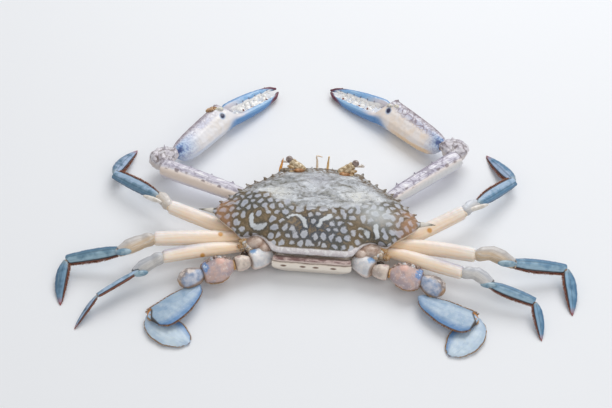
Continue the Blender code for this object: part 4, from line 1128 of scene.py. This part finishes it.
def clawWristPaint():
    paint = Paint("clawWristPaint", 0.36, 0.25, 0.25)
    mottle, cloud = paint.noise(2.4, detail=3.0, rough=0.6), paint.noise(5.0, detail=2.0)
    web = paint.stir(paint.cells(5.4, feature="DISTANCE_TO_EDGE"), mottle, 0.75)
    colour = paint.layers("aea8b4", [
        (cloud, 0.4, 0.6, 1, "d8d4dc"), (web, 0.1, -0.02, 0.7, "6e6262"),
        (mottle, 0.54, 0.66, 0.7, "e2e3e6"), (mottle, 0.4, 0.3, 0.8, "7a6c64")])
    side = paint.stir("height", cloud, 0.5)
    colour = paint.layers(colour, [(side, 0.35, 0.0, 0.92, "dcd2ce")])
    return paint.finish(colour, [(mottle, 0.3, 0.5), (paint.noise(0.6), 0.15, 0.2)])


def lilacTones(paint, mottle, cloud, netShare):
    # the lilac half of the palm, with its net of dark lines
    lilac = paint.layers("c4c6da", [(cloud, 0.4, 0.62, 1, "dedde6"), (mottle, 0.44, 0.34, 0.6, "8c94b6")])
    web = paint.stir(paint.cells(3.8, feature="DISTANCE_TO_EDGE"), mottle, 0.5)
    nets = paint.times(paint.step(web, 0.14, 0.02),
                       paint.step("along", 0.62, 0.4, netShare * 0.25, netShare))
    return paint.layers(lilac, [(nets, "7e6874"), (web, 0.28, 0.42, 0.5, "e0dee6")])


def fingerTones(paint):
    # sky blue, deeper along the outer edges and pale toward the gape at the root
    streak = paint.streaks(3.0, 4.0)
    sky = paint.layers("76a6d8", [(streak, 0.36, 0.64, 1, "a4c8e8"), ("outer", 0.15, 0.85, 0.85, "4680be")])
    root = paint.times(paint.step("reach", 0.42, 0.1), paint.step("outer", 0.6, 0.0))
    return paint.mix(paint.times(root, 0.85), sky, "d6ccd0")


def palmPaint(name, netShare, nearTone, farTone, edgeTone, baseReach):
    paint = Paint(name, 0.33, 0.28, 0.24)
    mottle, cloud = paint.noise(1.3, detail=3.0, rough=0.62), paint.noise(7.0, detail=2.0)
    near = paint.layers(nearTone, [(cloud, 0.38, 0.62, 1, farTone)])
    lilac = lilacTones(paint, mottle, cloud, netShare)
    top = paint.layers("8c808e", [(mottle, 0.44, 0.58, 1, "cac6d0")])
    border = paint.stir("far", mottle, 0.7)
    border = paint.less(border, paint.step("along", 0.3, 0.6, 0.0, 0.35))
    colour = paint.layers(near, [(border, -0.1, 0.35, 1, lilac), (border, 0.52, 0.8, 0.8, top)])
    front = paint.layers("96a0cc", [(cloud, 0.38, 0.62, 1, "c4bed8")])
    colour = paint.mix(paint.times(paint.step("height", 0.25, -0.25),
                                   paint.step("far", 0.4, 0.8, 0.0, 0.8)), colour, front)
    blue = paint.layers("6086c6", [(mottle, 0.38, 0.56, 1, "acc8e8")])
    base = paint.times(paint.step("along", baseReach, 0.01), paint.step("far", -0.95, -0.1, 0.55, 1.0))
    base = paint.times(base, paint.step("far", 0.78, 0.42))
    colour = paint.mix(base, colour, blue)
    ink = paint.times(paint.step("along", 0.07, 0.03), paint.step(paint.off("far", 0), 0.36, 0.12))
    colour = paint.mix(paint.times(ink, 0.9), colour, "30427e")
    low = paint.times(paint.step("far", -0.84, -0.94), paint.step("along", 0.48, 0.3),
                      paint.step("along", 0.03, 0.1))
    dark = paint.times(paint.step(cloud, 0.46, 0.34), paint.step("far", 0.45, 0.75),
                       paint.step("far", 0.98, 0.88))
    colour = paint.layers(colour, [
        (paint.times(dark, paint.step("along", 0.7, 0.55, 0.0, 0.6)), "68626c"),
        (paint.times(low, 0.9), edgeTone)])
    maroon = paint.layers("522036", [(mottle, 0.4, 0.6, 1, "76364a")])
    colour = paint.layers(colour, [
        ("finger", fingerTones(paint)), ("tipTone", maroon), ("gape", "ffffff"),
        (paint.times("notch", 0.85), "6c3e42"),
        ("ridgeTone", "624048"), ("navyRim", "88acd8"), ("navy", "222448")])
    return paint.finish(colour, [(mottle, 0.12, 0.25), (paint.noise(0.8), 0.1, 0.2)])


def toothRow(name, lay, edge, start, end, sizes):
    # blunt white teeth along the gape of a finger, modelled as swollen cones fused side by side
    out = lay.acrossWay * edge
    turn = [math.degrees(angle) for angle in Vector(out).to_track_quat("Z", "Y").to_euler()]
    lumps = []
    for root, size in zip(edgeCurve(lay, edge, start, end, len(sizes)), sizes):
        lump = addLump(name + "_tooth", root + out * size * 0.15, (size * 1.05, size * 0.85, size * 1.25),
                       turn, wrinkle=0.02, size=1.2, seed=size, detail=2)
        spread = pointsOf(lump) - root
        rise = (spread @ out)[:, None]
        share = np.clip(rise / (size * 1.4), 0, 1)
        movePoints(lump, root + out * rise + (spread - out * rise) * (1 - 0.45 * share))
        lumps.append(lump)
    bpy.ops.object.select_all(action="DESELECT")
    for lump in lumps:
        lump.select_set(True)
    bpy.context.view_layer.objects.active = lumps[0]
    bpy.ops.object.join()
    row = bpy.context.object
    row.name = name
    applyModifier(row, "REMESH", mode="VOXEL", voxel_size=0.25 * mm, adaptivity=0.0)
    applyModifier(row, "SMOOTH", factor=0.5, iterations=9)
    return row


def toothPaint():
    paint = Paint("toothPaint", 0.3, 0.3, 0.15, flesh=(0.35, (0.002, 0.002, 0.002), 1.0))
    cloud = paint.noise(1.6, detail=2.0)
    colour = paint.layers("fdfdfc", [(cloud, 0.4, 0.62, 1, "ffffff")])
    return paint.finish(colour, [(cloud, 0.05, 0.1)])


claw = {
    "grain": {"ischium": 0.6, "merus": 0.55, "carpus": 0.5, "palm": 0.5, "dactyl": 0.42},
    "smooth": {"rest": (6, 0.25)},
    "root": (20.0, 8.0, 8.0), "fingerStart": 0.53, "firstTooth": {"palm": 0.60, "dactyl": 0.16},
    "toothSizes": [1.2, 1.9, 1.5, 2.1, 1.6, 2.0, 1.4, 1.5, 1.0, 0.7],
    # dark marks beside the teeth: which of nine places along the gape, and half width
    "gapeMarks": ((1, 0.6), (3, 0.85), (5, 0.6), (7, 0.75)),
    "navySpot": {"l": (-71.9, 94.9, 16.1), "r": (39.2, 111.9, 15.2)},
    # the hinge of each movable finger, a tan tuft and pale knobs: ends, width, tone
    "hinge": {"l": [((-82.6, 95.2, 18.4), (-77.0, 100.0, 18.0), 1.8, "tan"),
                    ((-76.4, 98.6, 18.0), (-72.6, 100.6, 17.4), 1.5, "pale")],
              "r": [((46.4, 113.4, 17.0), (43.0, 115.6, 16.6), 1.4, "pale"),
                    ((41.4, 115.4, 16.6), (38.2, 116.2, 16.2), 1.3, "pale")]},
}


def shapeFinger(piece, lay, key, part):
    # the palm with its fixed finger, or the movable finger; returns their lift and hook in mm
    palm = part == "palm"
    gapeSide = -1 if palm else 1
    far = -lay.across
    outer = far * gapeSide  # 1 on the outer edge of each finger, -1 on the gape side
    start = claw["fingerStart"] if palm else 0.0
    run = (lay.along - start) / (1 - start)
    reach = np.clip(run, 0, 1)
    past = run + 0.30 * np.clip(outer, 0, 1) ** 1.5 + 0.08 * np.minimum(outer, 0)
    past = smoothStep(past, -0.04, 0.26) if palm else np.ones(len(far))
    beat = np.abs(np.sin(math.pi * reach * 8.5 + (0.8 if palm else 0.0)))
    white = smoothStep(-outer, 0.56 - 0.18 * beat, 0.74 - 0.18 * beat)
    ridge = np.maximum(bell(far - 0.92, 0.09), 0.4 * bell(far - 0.74, 0.03))
    ridge = ridge * palm * (1 - past) * smoothStep(lay.height, 0.05, 0.35)
    hole = np.linalg.norm((lay.points - claw["navySpot"][key]) * (1, 0.75, 0.6), axis=1)
    notch = past * smoothStep(0.35 - beat, 0.0, 0.25) * bell(-outer - 0.50, 0.16)
    writeFields(piece, far=far * palm, finger=past, reach=reach, outer=outer * past,
                gape=past * white * smoothStep(reach, 0.06, 0.16) * smoothStep(reach, 0.94, 0.86),
                notch=notch * smoothStep(reach, 0.12, 0.3), ridgeTone=ridge * 0.85,
                tipTone=past * smoothStep(reach + 0.12 * outer, 0.78, 0.88),
                navy=smoothStep(hole, 1.9, 1.2) * palm,
                navyRim=0.6 * smoothStep(hole, 2.5, 1.9) * palm)
    lift = 0.25 * ridge + 0.45 * smoothStep(reach, 0.80, 0.97)
    return lift, 1.5 * smoothStep(reach, 0.86, 1.0) ** 1.5 * gapeSide


def addGape(lay, key, part, slot):
    # the white teeth of a finger, and the dark marks beside them
    palm = part == "palm"
    gapeSide = -1 if palm else 1
    first = claw["firstTooth"][part]
    row = toothRow(f"claw_{part}_teeth_{key}", lay, gapeSide, first, 0.93, claw["toothSizes"])
    finishPiece(row, whiteTeeth, (), slot)
    out = lay.acrossWay * gapeSide
    places = edgeCurve(lay, gapeSide, first + 0.02, 0.92, 9) + lay.upWay * 0.9
    for spot, wide in claw["gapeMarks"]:
        beside = places[spot] - out * (wide + (1.0 if palm else 2.2))
        addSpindle(f"claw_{part}_mark{spot}_{key}", beside - out * wide, beside + out * wide * 1.3,
                   wide, wide * 1.3, gapeMark, slot, wrinkle=0.05, seed=spot)


def buildClaw(key):
    for index, part, name, piece, lay in limbSkins("claw", key, claw):
        slot = {"palm": "claw_hand", "dactyl": "claw_finger"}.get(part, "claw_arm")
        lift = 0.08 * ripple(lay.points, 2.2, 71 + index)
        hook = np.zeros(len(lift))
        if part == "carpus":
            lift += 0.65 * ripple(lay.points, 4.5, 17.0) + 0.25 * ripple(lay.points, 1.9, 27.0)
        if part in claw["firstTooth"]:
            swell, hook = shapeFinger(piece, lay, key, part)
            lift += swell
        movePoints(piece, lay.points + normalsOf(piece) * lift[:, None] + hook[:, None] * lay.acrossWay)
        finishPiece(piece, clawPaints[part, key], [name], slot)
        if part in claw["firstTooth"]:
            addGape(lay, key, part, slot)
    for first, second in (("ischium", "merus"), ("merus", "carpus"), ("carpus", "palm")):
        addKnuckle(f"claw_{first}_{key}", f"claw_{second}_{key}", 0.8, brownJoint, "claw_arm")
    for index, (start, end, width, tone) in enumerate(claw["hinge"][key]):
        addSpindle(f"clawHinge{index}_{key}", start, end, width, width, hingeLooks[tone], "claw_hand",
                   wrinkle=0.3, seed=index)


gapeMark = jointPaint("gapeMark", "5c2826", "966054")
hingeLooks = {"tan": jointPaint("hingeTanPaint", "8c684a", "ccac88"),
              "pale": jointPaint("hingePalePaint", "c4c2b4", "e8e6de")}
whiteTeeth = toothPaint()
clawPaints = {}
for key, netShare, palmTones, sideTone, patchy in (
        ("l", 0.30, ("eae5e3", "eeedf1", "ced6e6", 0.24), "ecdcd0", 0.50),
        ("r", 0.75, ("f2e4d8", "f2ecea", "eecca0", 0.15), "e2e2e4", 0.70)):
    palmLook = palmPaint(f"palmPaint_{key}", netShare, *palmTones)
    armLook = clawArmPaint(f"clawArmPaint_{key}", sideTone, patchy)
    wristLook = clawWristPaint()
    for part, look in (("palm", palmLook), ("dactyl", palmLook), ("merus", armLook), ("ischium", armLook),
                       ("carpus", wristLook)):
        clawPaints[part, key] = look

for key in sides:
    buildClaw(key)
print("claws ready")


def sternumPaint():
    paint = Paint("sternumPaint", 0.42, 0.15)
    mottle = paint.noise(5.0, detail=4.0)
    colour = paint.layers("e2d0bc", [
        (mottle, 0.36, 0.64, 1, "f4eee6"), (paint.noise(1.4), 0.58, 0.7, 0.4, "b0b6c4")])
    return paint.finish(colour, [(paint.noise(1.0), 0.2, 0.3)])


def tailPaint():
    # bands from the top down: brown line, tergite, line, cream band with brown spots
    paint = Paint("tailPaint", 0.38, 0.2, 0.3)
    mottle = paint.noise(2.4, detail=4.0, rough=0.6, where=paint.place((0.45, 1, 1)))
    wave = paint.stir("level", mottle, 1.2)
    band = paint.calc("DIVIDE", wave, 20.0)
    stops = [(0.0, "e4dace"), (0.4, "dcd2c6"), (0.47, "f6eee2"), (0.63, "f4eade"), (0.665, "80685a"),
             (0.69, "e8d8d0"), (0.735, "dec8c2"), (0.765, "d4beba"), (0.785, "604a42"), (0.82, "68544e"),
             (0.85, "c0b0b0")]
    colour = paint.ramp(band, stops)
    patches = paint.times("patch", paint.step(mottle, 0.35, 0.6))
    colour = paint.layers(colour, [(patches, "7a5452"), ("dot", "704e36")])
    return paint.finish(colour, [(mottle, 0.2, 0.3)])


def addBristles(name, roots, ways, lengths, wide, material, slot, seed):
    # a small tuft of single hairs, one at each root, unwrapped over the box of its roots
    dice = np.random.default_rng(seed)
    roots = np.array(roots, float)
    rows = []
    for root, way, length in zip(roots, ways, lengths):
        out = np.array(way, float) + dice.normal(0, 0.12, 3)
        out /= np.linalg.norm(out)
        beside = np.cross(out, (0.3, 0.2, 1.0))
        beside /= np.linalg.norm(beside)
        rows.append((root, out, beside, wide, length * dice.uniform(0.75, 1.15), dice.normal(0.15, 0.15)))
    box = [(roots.min(0) - 4.0) * mm, (roots.max(0) + 4.0) * mm]
    finishPiece(fringe(name, box, rows), material, (), slot)


rootLumps = {
    # soft parts where the legs leave the body, left side, in mm: name, place, radii, turn, paint
    "archSkin": ((-34.2, -16.6, 13.4), (7.6, 6.2, 4.4), (-18, 0, 6), "brown"),
    "archFold": ((-28.6, -21.0, 14.0), (3.6, 4.6, 3.4), (-20, 0, -40), "brown"),
    "legRootOuter": ((-42.4, -16.2, 13.4), (3.4, 2.8, 2.6), (0, -10, 20), "orange"),
    "legRootMiddle": ((-40.2, -19.8, 12.6), (2.8, 2.4, 2.6), (0, 0, 0), "cream"),
    "legRootRear": ((-44.4, -20.4, 11.8), (2.4, 1.9, 2.2), (0, 0, 0), "orange"),
    "legRootInner": ((-37.4, -22.4, 12.4), (2.2, 2.0, 2.2), (0, 0, 30), "cream"),
    "legRootHigh": ((-41.8, -18.0, 14.2), (1.5, 1.3, 1.3), (0, 0, 0), "white"),
    "legRootBead": ((-39.0, -21.2, 14.0), (1.3, 1.1, 1.2), (0, 0, 0), "white"),
    # the near-black low lump fills the dark gap beside the swimming leg's root: a painted shadow
    "legRootShadowLump": ((-41.2, -24.4, 10.2), (2.2, 2.0, 2.2), (0, 0, 0), "dark"),
}

# bristles among the leg roots, left side: the box of their roots in mm, and how many of each look
rootHair = {"low": (-46.0, -24.5, 12.0), "high": (-36.5, -15.5, 14.8),
            "tufts": ((80, goldFringe), (90, paleFringe))}
rootLooks = {"brown": plainPaint("archSkinPaint", "aa8e7e", "d0beb2", 4.0),
             "orange": jointPaint("rootOrangePaint", "b88a5a", "e2c49a"),
             "cream": jointPaint("rootCreamPaint", "baa082", "ece2d6"),
             "white": jointPaint("rootWhitePaint", "cecccc", "f4f2f0"),
             # the near-black paint of the low lump is painted shadow
             "dark": jointPaint("rootPaintedShadowPaint", "281e1a", "4a382c")}


def buildLegRoots():
    dice = np.random.default_rng(5)
    low, high = rootHair["low"], rootHair["high"]
    for key, side in sides.items():
        for index, (name, (place, radii, turn, look)) in enumerate(rootLumps.items()):
            lump = addLump(f"{name}_{key}", np.array(place) * (-side, 1, 1), radii,
                           np.array(turn) * (1, -side, -side), wrinkle=0.10 if look == "brown" else 0.32,
                           size=2.0, seed=index + 3.0 * side)
            finishPiece(lump, rootLooks[look], (), "swim_root")
        for hairs, look in rootHair["tufts"]:
            roots, ways, lengths = [], [], []
            for _ in range(hairs):
                roots.append(np.array([dice.uniform(a, b) for a, b in zip(low, high)]) * (-side, 1, 1))
                ways.append((side * 0.4, dice.uniform(-0.9, 0.4), dice.uniform(0.2, 0.9)))
                lengths.append(dice.uniform(0.9, 2.0))
            addBristles(f"legRootHair{hairs}_{key}", roots, ways, lengths, 0.15, look, "swim_root", 9)


tail = {"creases": ((13.3, 0.35), (9.0, 0.25)), "dots": (-16.8, -5.2, 2.6, 13.2), "dotHeight": 10.9,
        "fold": ((-22.8, -26.0, 17.5), (22.8, -26.0, 17.5), 1.3, 1.35)}


def buildUnderside():
    finishPiece(skinOf("sternum", grain=0.6, rounds=5), sternumPaint(), ["sternum"], "underbody")
    piece = skinOf("abdomen", grain=0.5, rounds=5)
    points, normals = pointsOf(piece), normalsOf(piece)
    level = points[:, 2]
    rear = smoothStep(-normals[:, 1], 0.3, 0.7)
    lift = 0.06 * ripple(points, 2.5, 90.0)
    for place, depth in tail["creases"]:
        lift -= depth * bell(level - place, 0.45) * rear
    dots = ovals(points[:, 0], level, [(x, tail["dotHeight"], 2.3, 1.0, 1.0) for x in tail["dots"]])
    writeFields(piece, level=level, dot=smoothStep(dots, 0.35, 0.75) * rear,
                patch=smoothStep(level, 13.9, 14.5) * smoothStep(level, 15.9, 15.3) * 0.9)
    movePoints(piece, points + normals * lift[:, None])
    finishPiece(piece, tailPaint(), ["abdomen"], "underbody")
    addSpindle("rearFold", *tail["fold"], plainPaint("rearFoldPaint", "967c70", "c8b6ac", 3.0), "underbody",
               wrinkle=0.12)


def eyePaint():
    paint = Paint("eyePaint", 0.16, 0.9, 0.06)
    facets = paint.cells(0.22, feature="DISTANCE_TO_EDGE", uneven=0.3)
    cloud = paint.noise(2.0)
    colour = paint.layers("7a6862", [(cloud, 0.35, 0.65, 1, "b4a29a"), (facets, 0.1, 0.02, 0.5, "342828")])
    return paint.finish(colour, [(facets, 0.15, 0.05)])


def stalkPaint():
    paint = Paint("stalkPaint", 0.36, 0.3, 0.2)
    mottle = paint.noise(1.4, detail=4.0)
    colour = paint.layers("9c825e", [
        (mottle, 0.38, 0.62, 1, "e0ceae"), ("height", 0.0, -0.6, 0.85, "965e30")])
    return paint.finish(colour, [(mottle, 0.3, 0.3)])


head = {
    # each pair of pieces: slot and grain
    "pieces": {"eye": ("eye", 0.22), "eyestalk": ("stalk", 0.22), "antennule": ("feeler", 0.16),
               "antenna": ("feeler", 0.16), "maxilliped": ("underbody", 0.4)},
    # soft parts round the eyes: start, end, width, depth, paint
    "lumps": {"l": [((-21.6, 38.6, 21.6), (-14.0, 38.6, 22.2), 2.0, 1.6, "gold"),
                    ((-17.4, 37.6, 24.2), (-11.4, 37.2, 24.5), 1.5, 1.3, "brown"),
                    ((-21.4, 40.4, 25.0), (-17.6, 39.8, 24.4), 1.4, 1.3, "gold"),
                    ((-26.0, 38.2, 23.2), (-20.0, 38.6, 23.6), 1.3, 1.2, "grey")],
              "r": [((21.6, 38.6, 21.4), (14.2, 38.6, 22.0), 2.1, 1.7, "gold"),
                    ((17.4, 36.6, 24.0), (11.6, 36.2, 24.6), 1.6, 1.4, "brown"),
                    ((21.8, 40.2, 24.2), (17.8, 39.8, 23.8), 1.4, 1.3, "gold"),
                    ((26.0, 37.4, 22.8), (21.0, 37.8, 23.2), 1.2, 1.1, "grey")]},
    "spinePlace": (-25.8, 40.8, 24.6), "spineWay": (1.7, 6.9, 6.2), "spineHalf": 5.4, "spineWidth": 1.15,
    # where short bristles grow between the eyes, and how far apart
    "hairRoots": ((-17.0, 39.4, 24.8), (17.0, 39.2, 24.4)), "hairGap": 0.5,
}


def addOrangeSpine():
    # the orange spine beside the left eye: a lump drawn out to a point, then laid along its way
    half, width = head["spineHalf"], head["spineWidth"]
    spine = addLump("orangeSpine_l", (0, 0, 0), (width, width, half), wrinkle=0.04)
    points = pointsOf(spine)
    points[:, :2] *= np.interp(points[:, 2], [-half, half], [1.25, 0.22])[:, None]
    way = np.array(head["spineWay"]) / np.linalg.norm(head["spineWay"])
    beside = np.cross((0, 0, 1.0), way)
    beside /= np.linalg.norm(beside)
    turned = points @ np.array((beside, np.cross(way, beside), way))
    movePoints(spine, np.array(head["spinePlace"]) + turned)
    finishPiece(spine, plainPaint("orangeSpinePaint", "ce801e", "e8b05c", 3.0, rough=0.25), (), "stalk")


def buildHead():
    eyeLook, stalkLook = eyePaint(), stalkPaint()
    antennaLook = plainPaint("antennaPaint", "e2d6c8", "eee6dc", 1.6)
    mouthLook = plainPaint("mouthPaint", "c4b09c", "e2dace", 2.4)
    antennuleLooks = {"l": plainPaint("antennulePaint_l", "e6ccb0", "f2e4d0", 1.4),
                      "r": plainPaint("antennulePaint_r", "dcb06e", "eed2a0", 1.4)}
    for key, side in sides.items():
        looks = {"eye": eyeLook, "eyestalk": stalkLook, "antennule": antennuleLooks[key],
                 "antenna": antennaLook, "maxilliped": mouthLook}
        for part, (slot, grain) in head["pieces"].items():
            piece = skinOf(f"{part}_{key}", grain=grain, rounds=6, cap=0.10)
            if part == "eyestalk":
                points = layAlong(piece, np.array((side, 1.0, 0.3)), side).points
                lift = 0.55 + 0.18 * ripple(points, 1.6, 3.0)
                movePoints(piece, points + normalsOf(piece) * lift[:, None])
            finishPiece(piece, looks[part], [f"{part}_{key}"], slot)
    looks = {"gold": plainPaint("orbitGoldPaint", "ac8452", "e6d0ac", 1.6, 0.5, 0.1),
             "brown": plainPaint("orbitBrownPaint", "906038", "c09060", 1.6, 0.5, 0.1),
             "grey": plainPaint("orbitGreyPaint", "786856", "b6ac9e", 1.6, 0.5, 0.1)}
    for key, lumps in head["lumps"].items():
        for index, (start, end, width, depth, look) in enumerate(lumps):
            addSpindle(f"orbit{index}_{key}", start, end, width, depth, looks[look], "stalk", wrinkle=0.25,
                       seed=index)
    addOrangeSpine()
    steps = [(head["hairGap"] * step * way, 0, 0) for way in (1, -1) for step in range(8)]
    roots = [np.add(start, step) for start in head["hairRoots"] for step in steps]
    addBristles("orbitHair", roots, [(0.1, 0.3, 1.0)] * len(roots), [1.6] * len(roots), 0.12, paleFringe,
                "stalk", 3)


buildLegRoots()
buildUnderside()
buildHead()
print("underside and head ready")
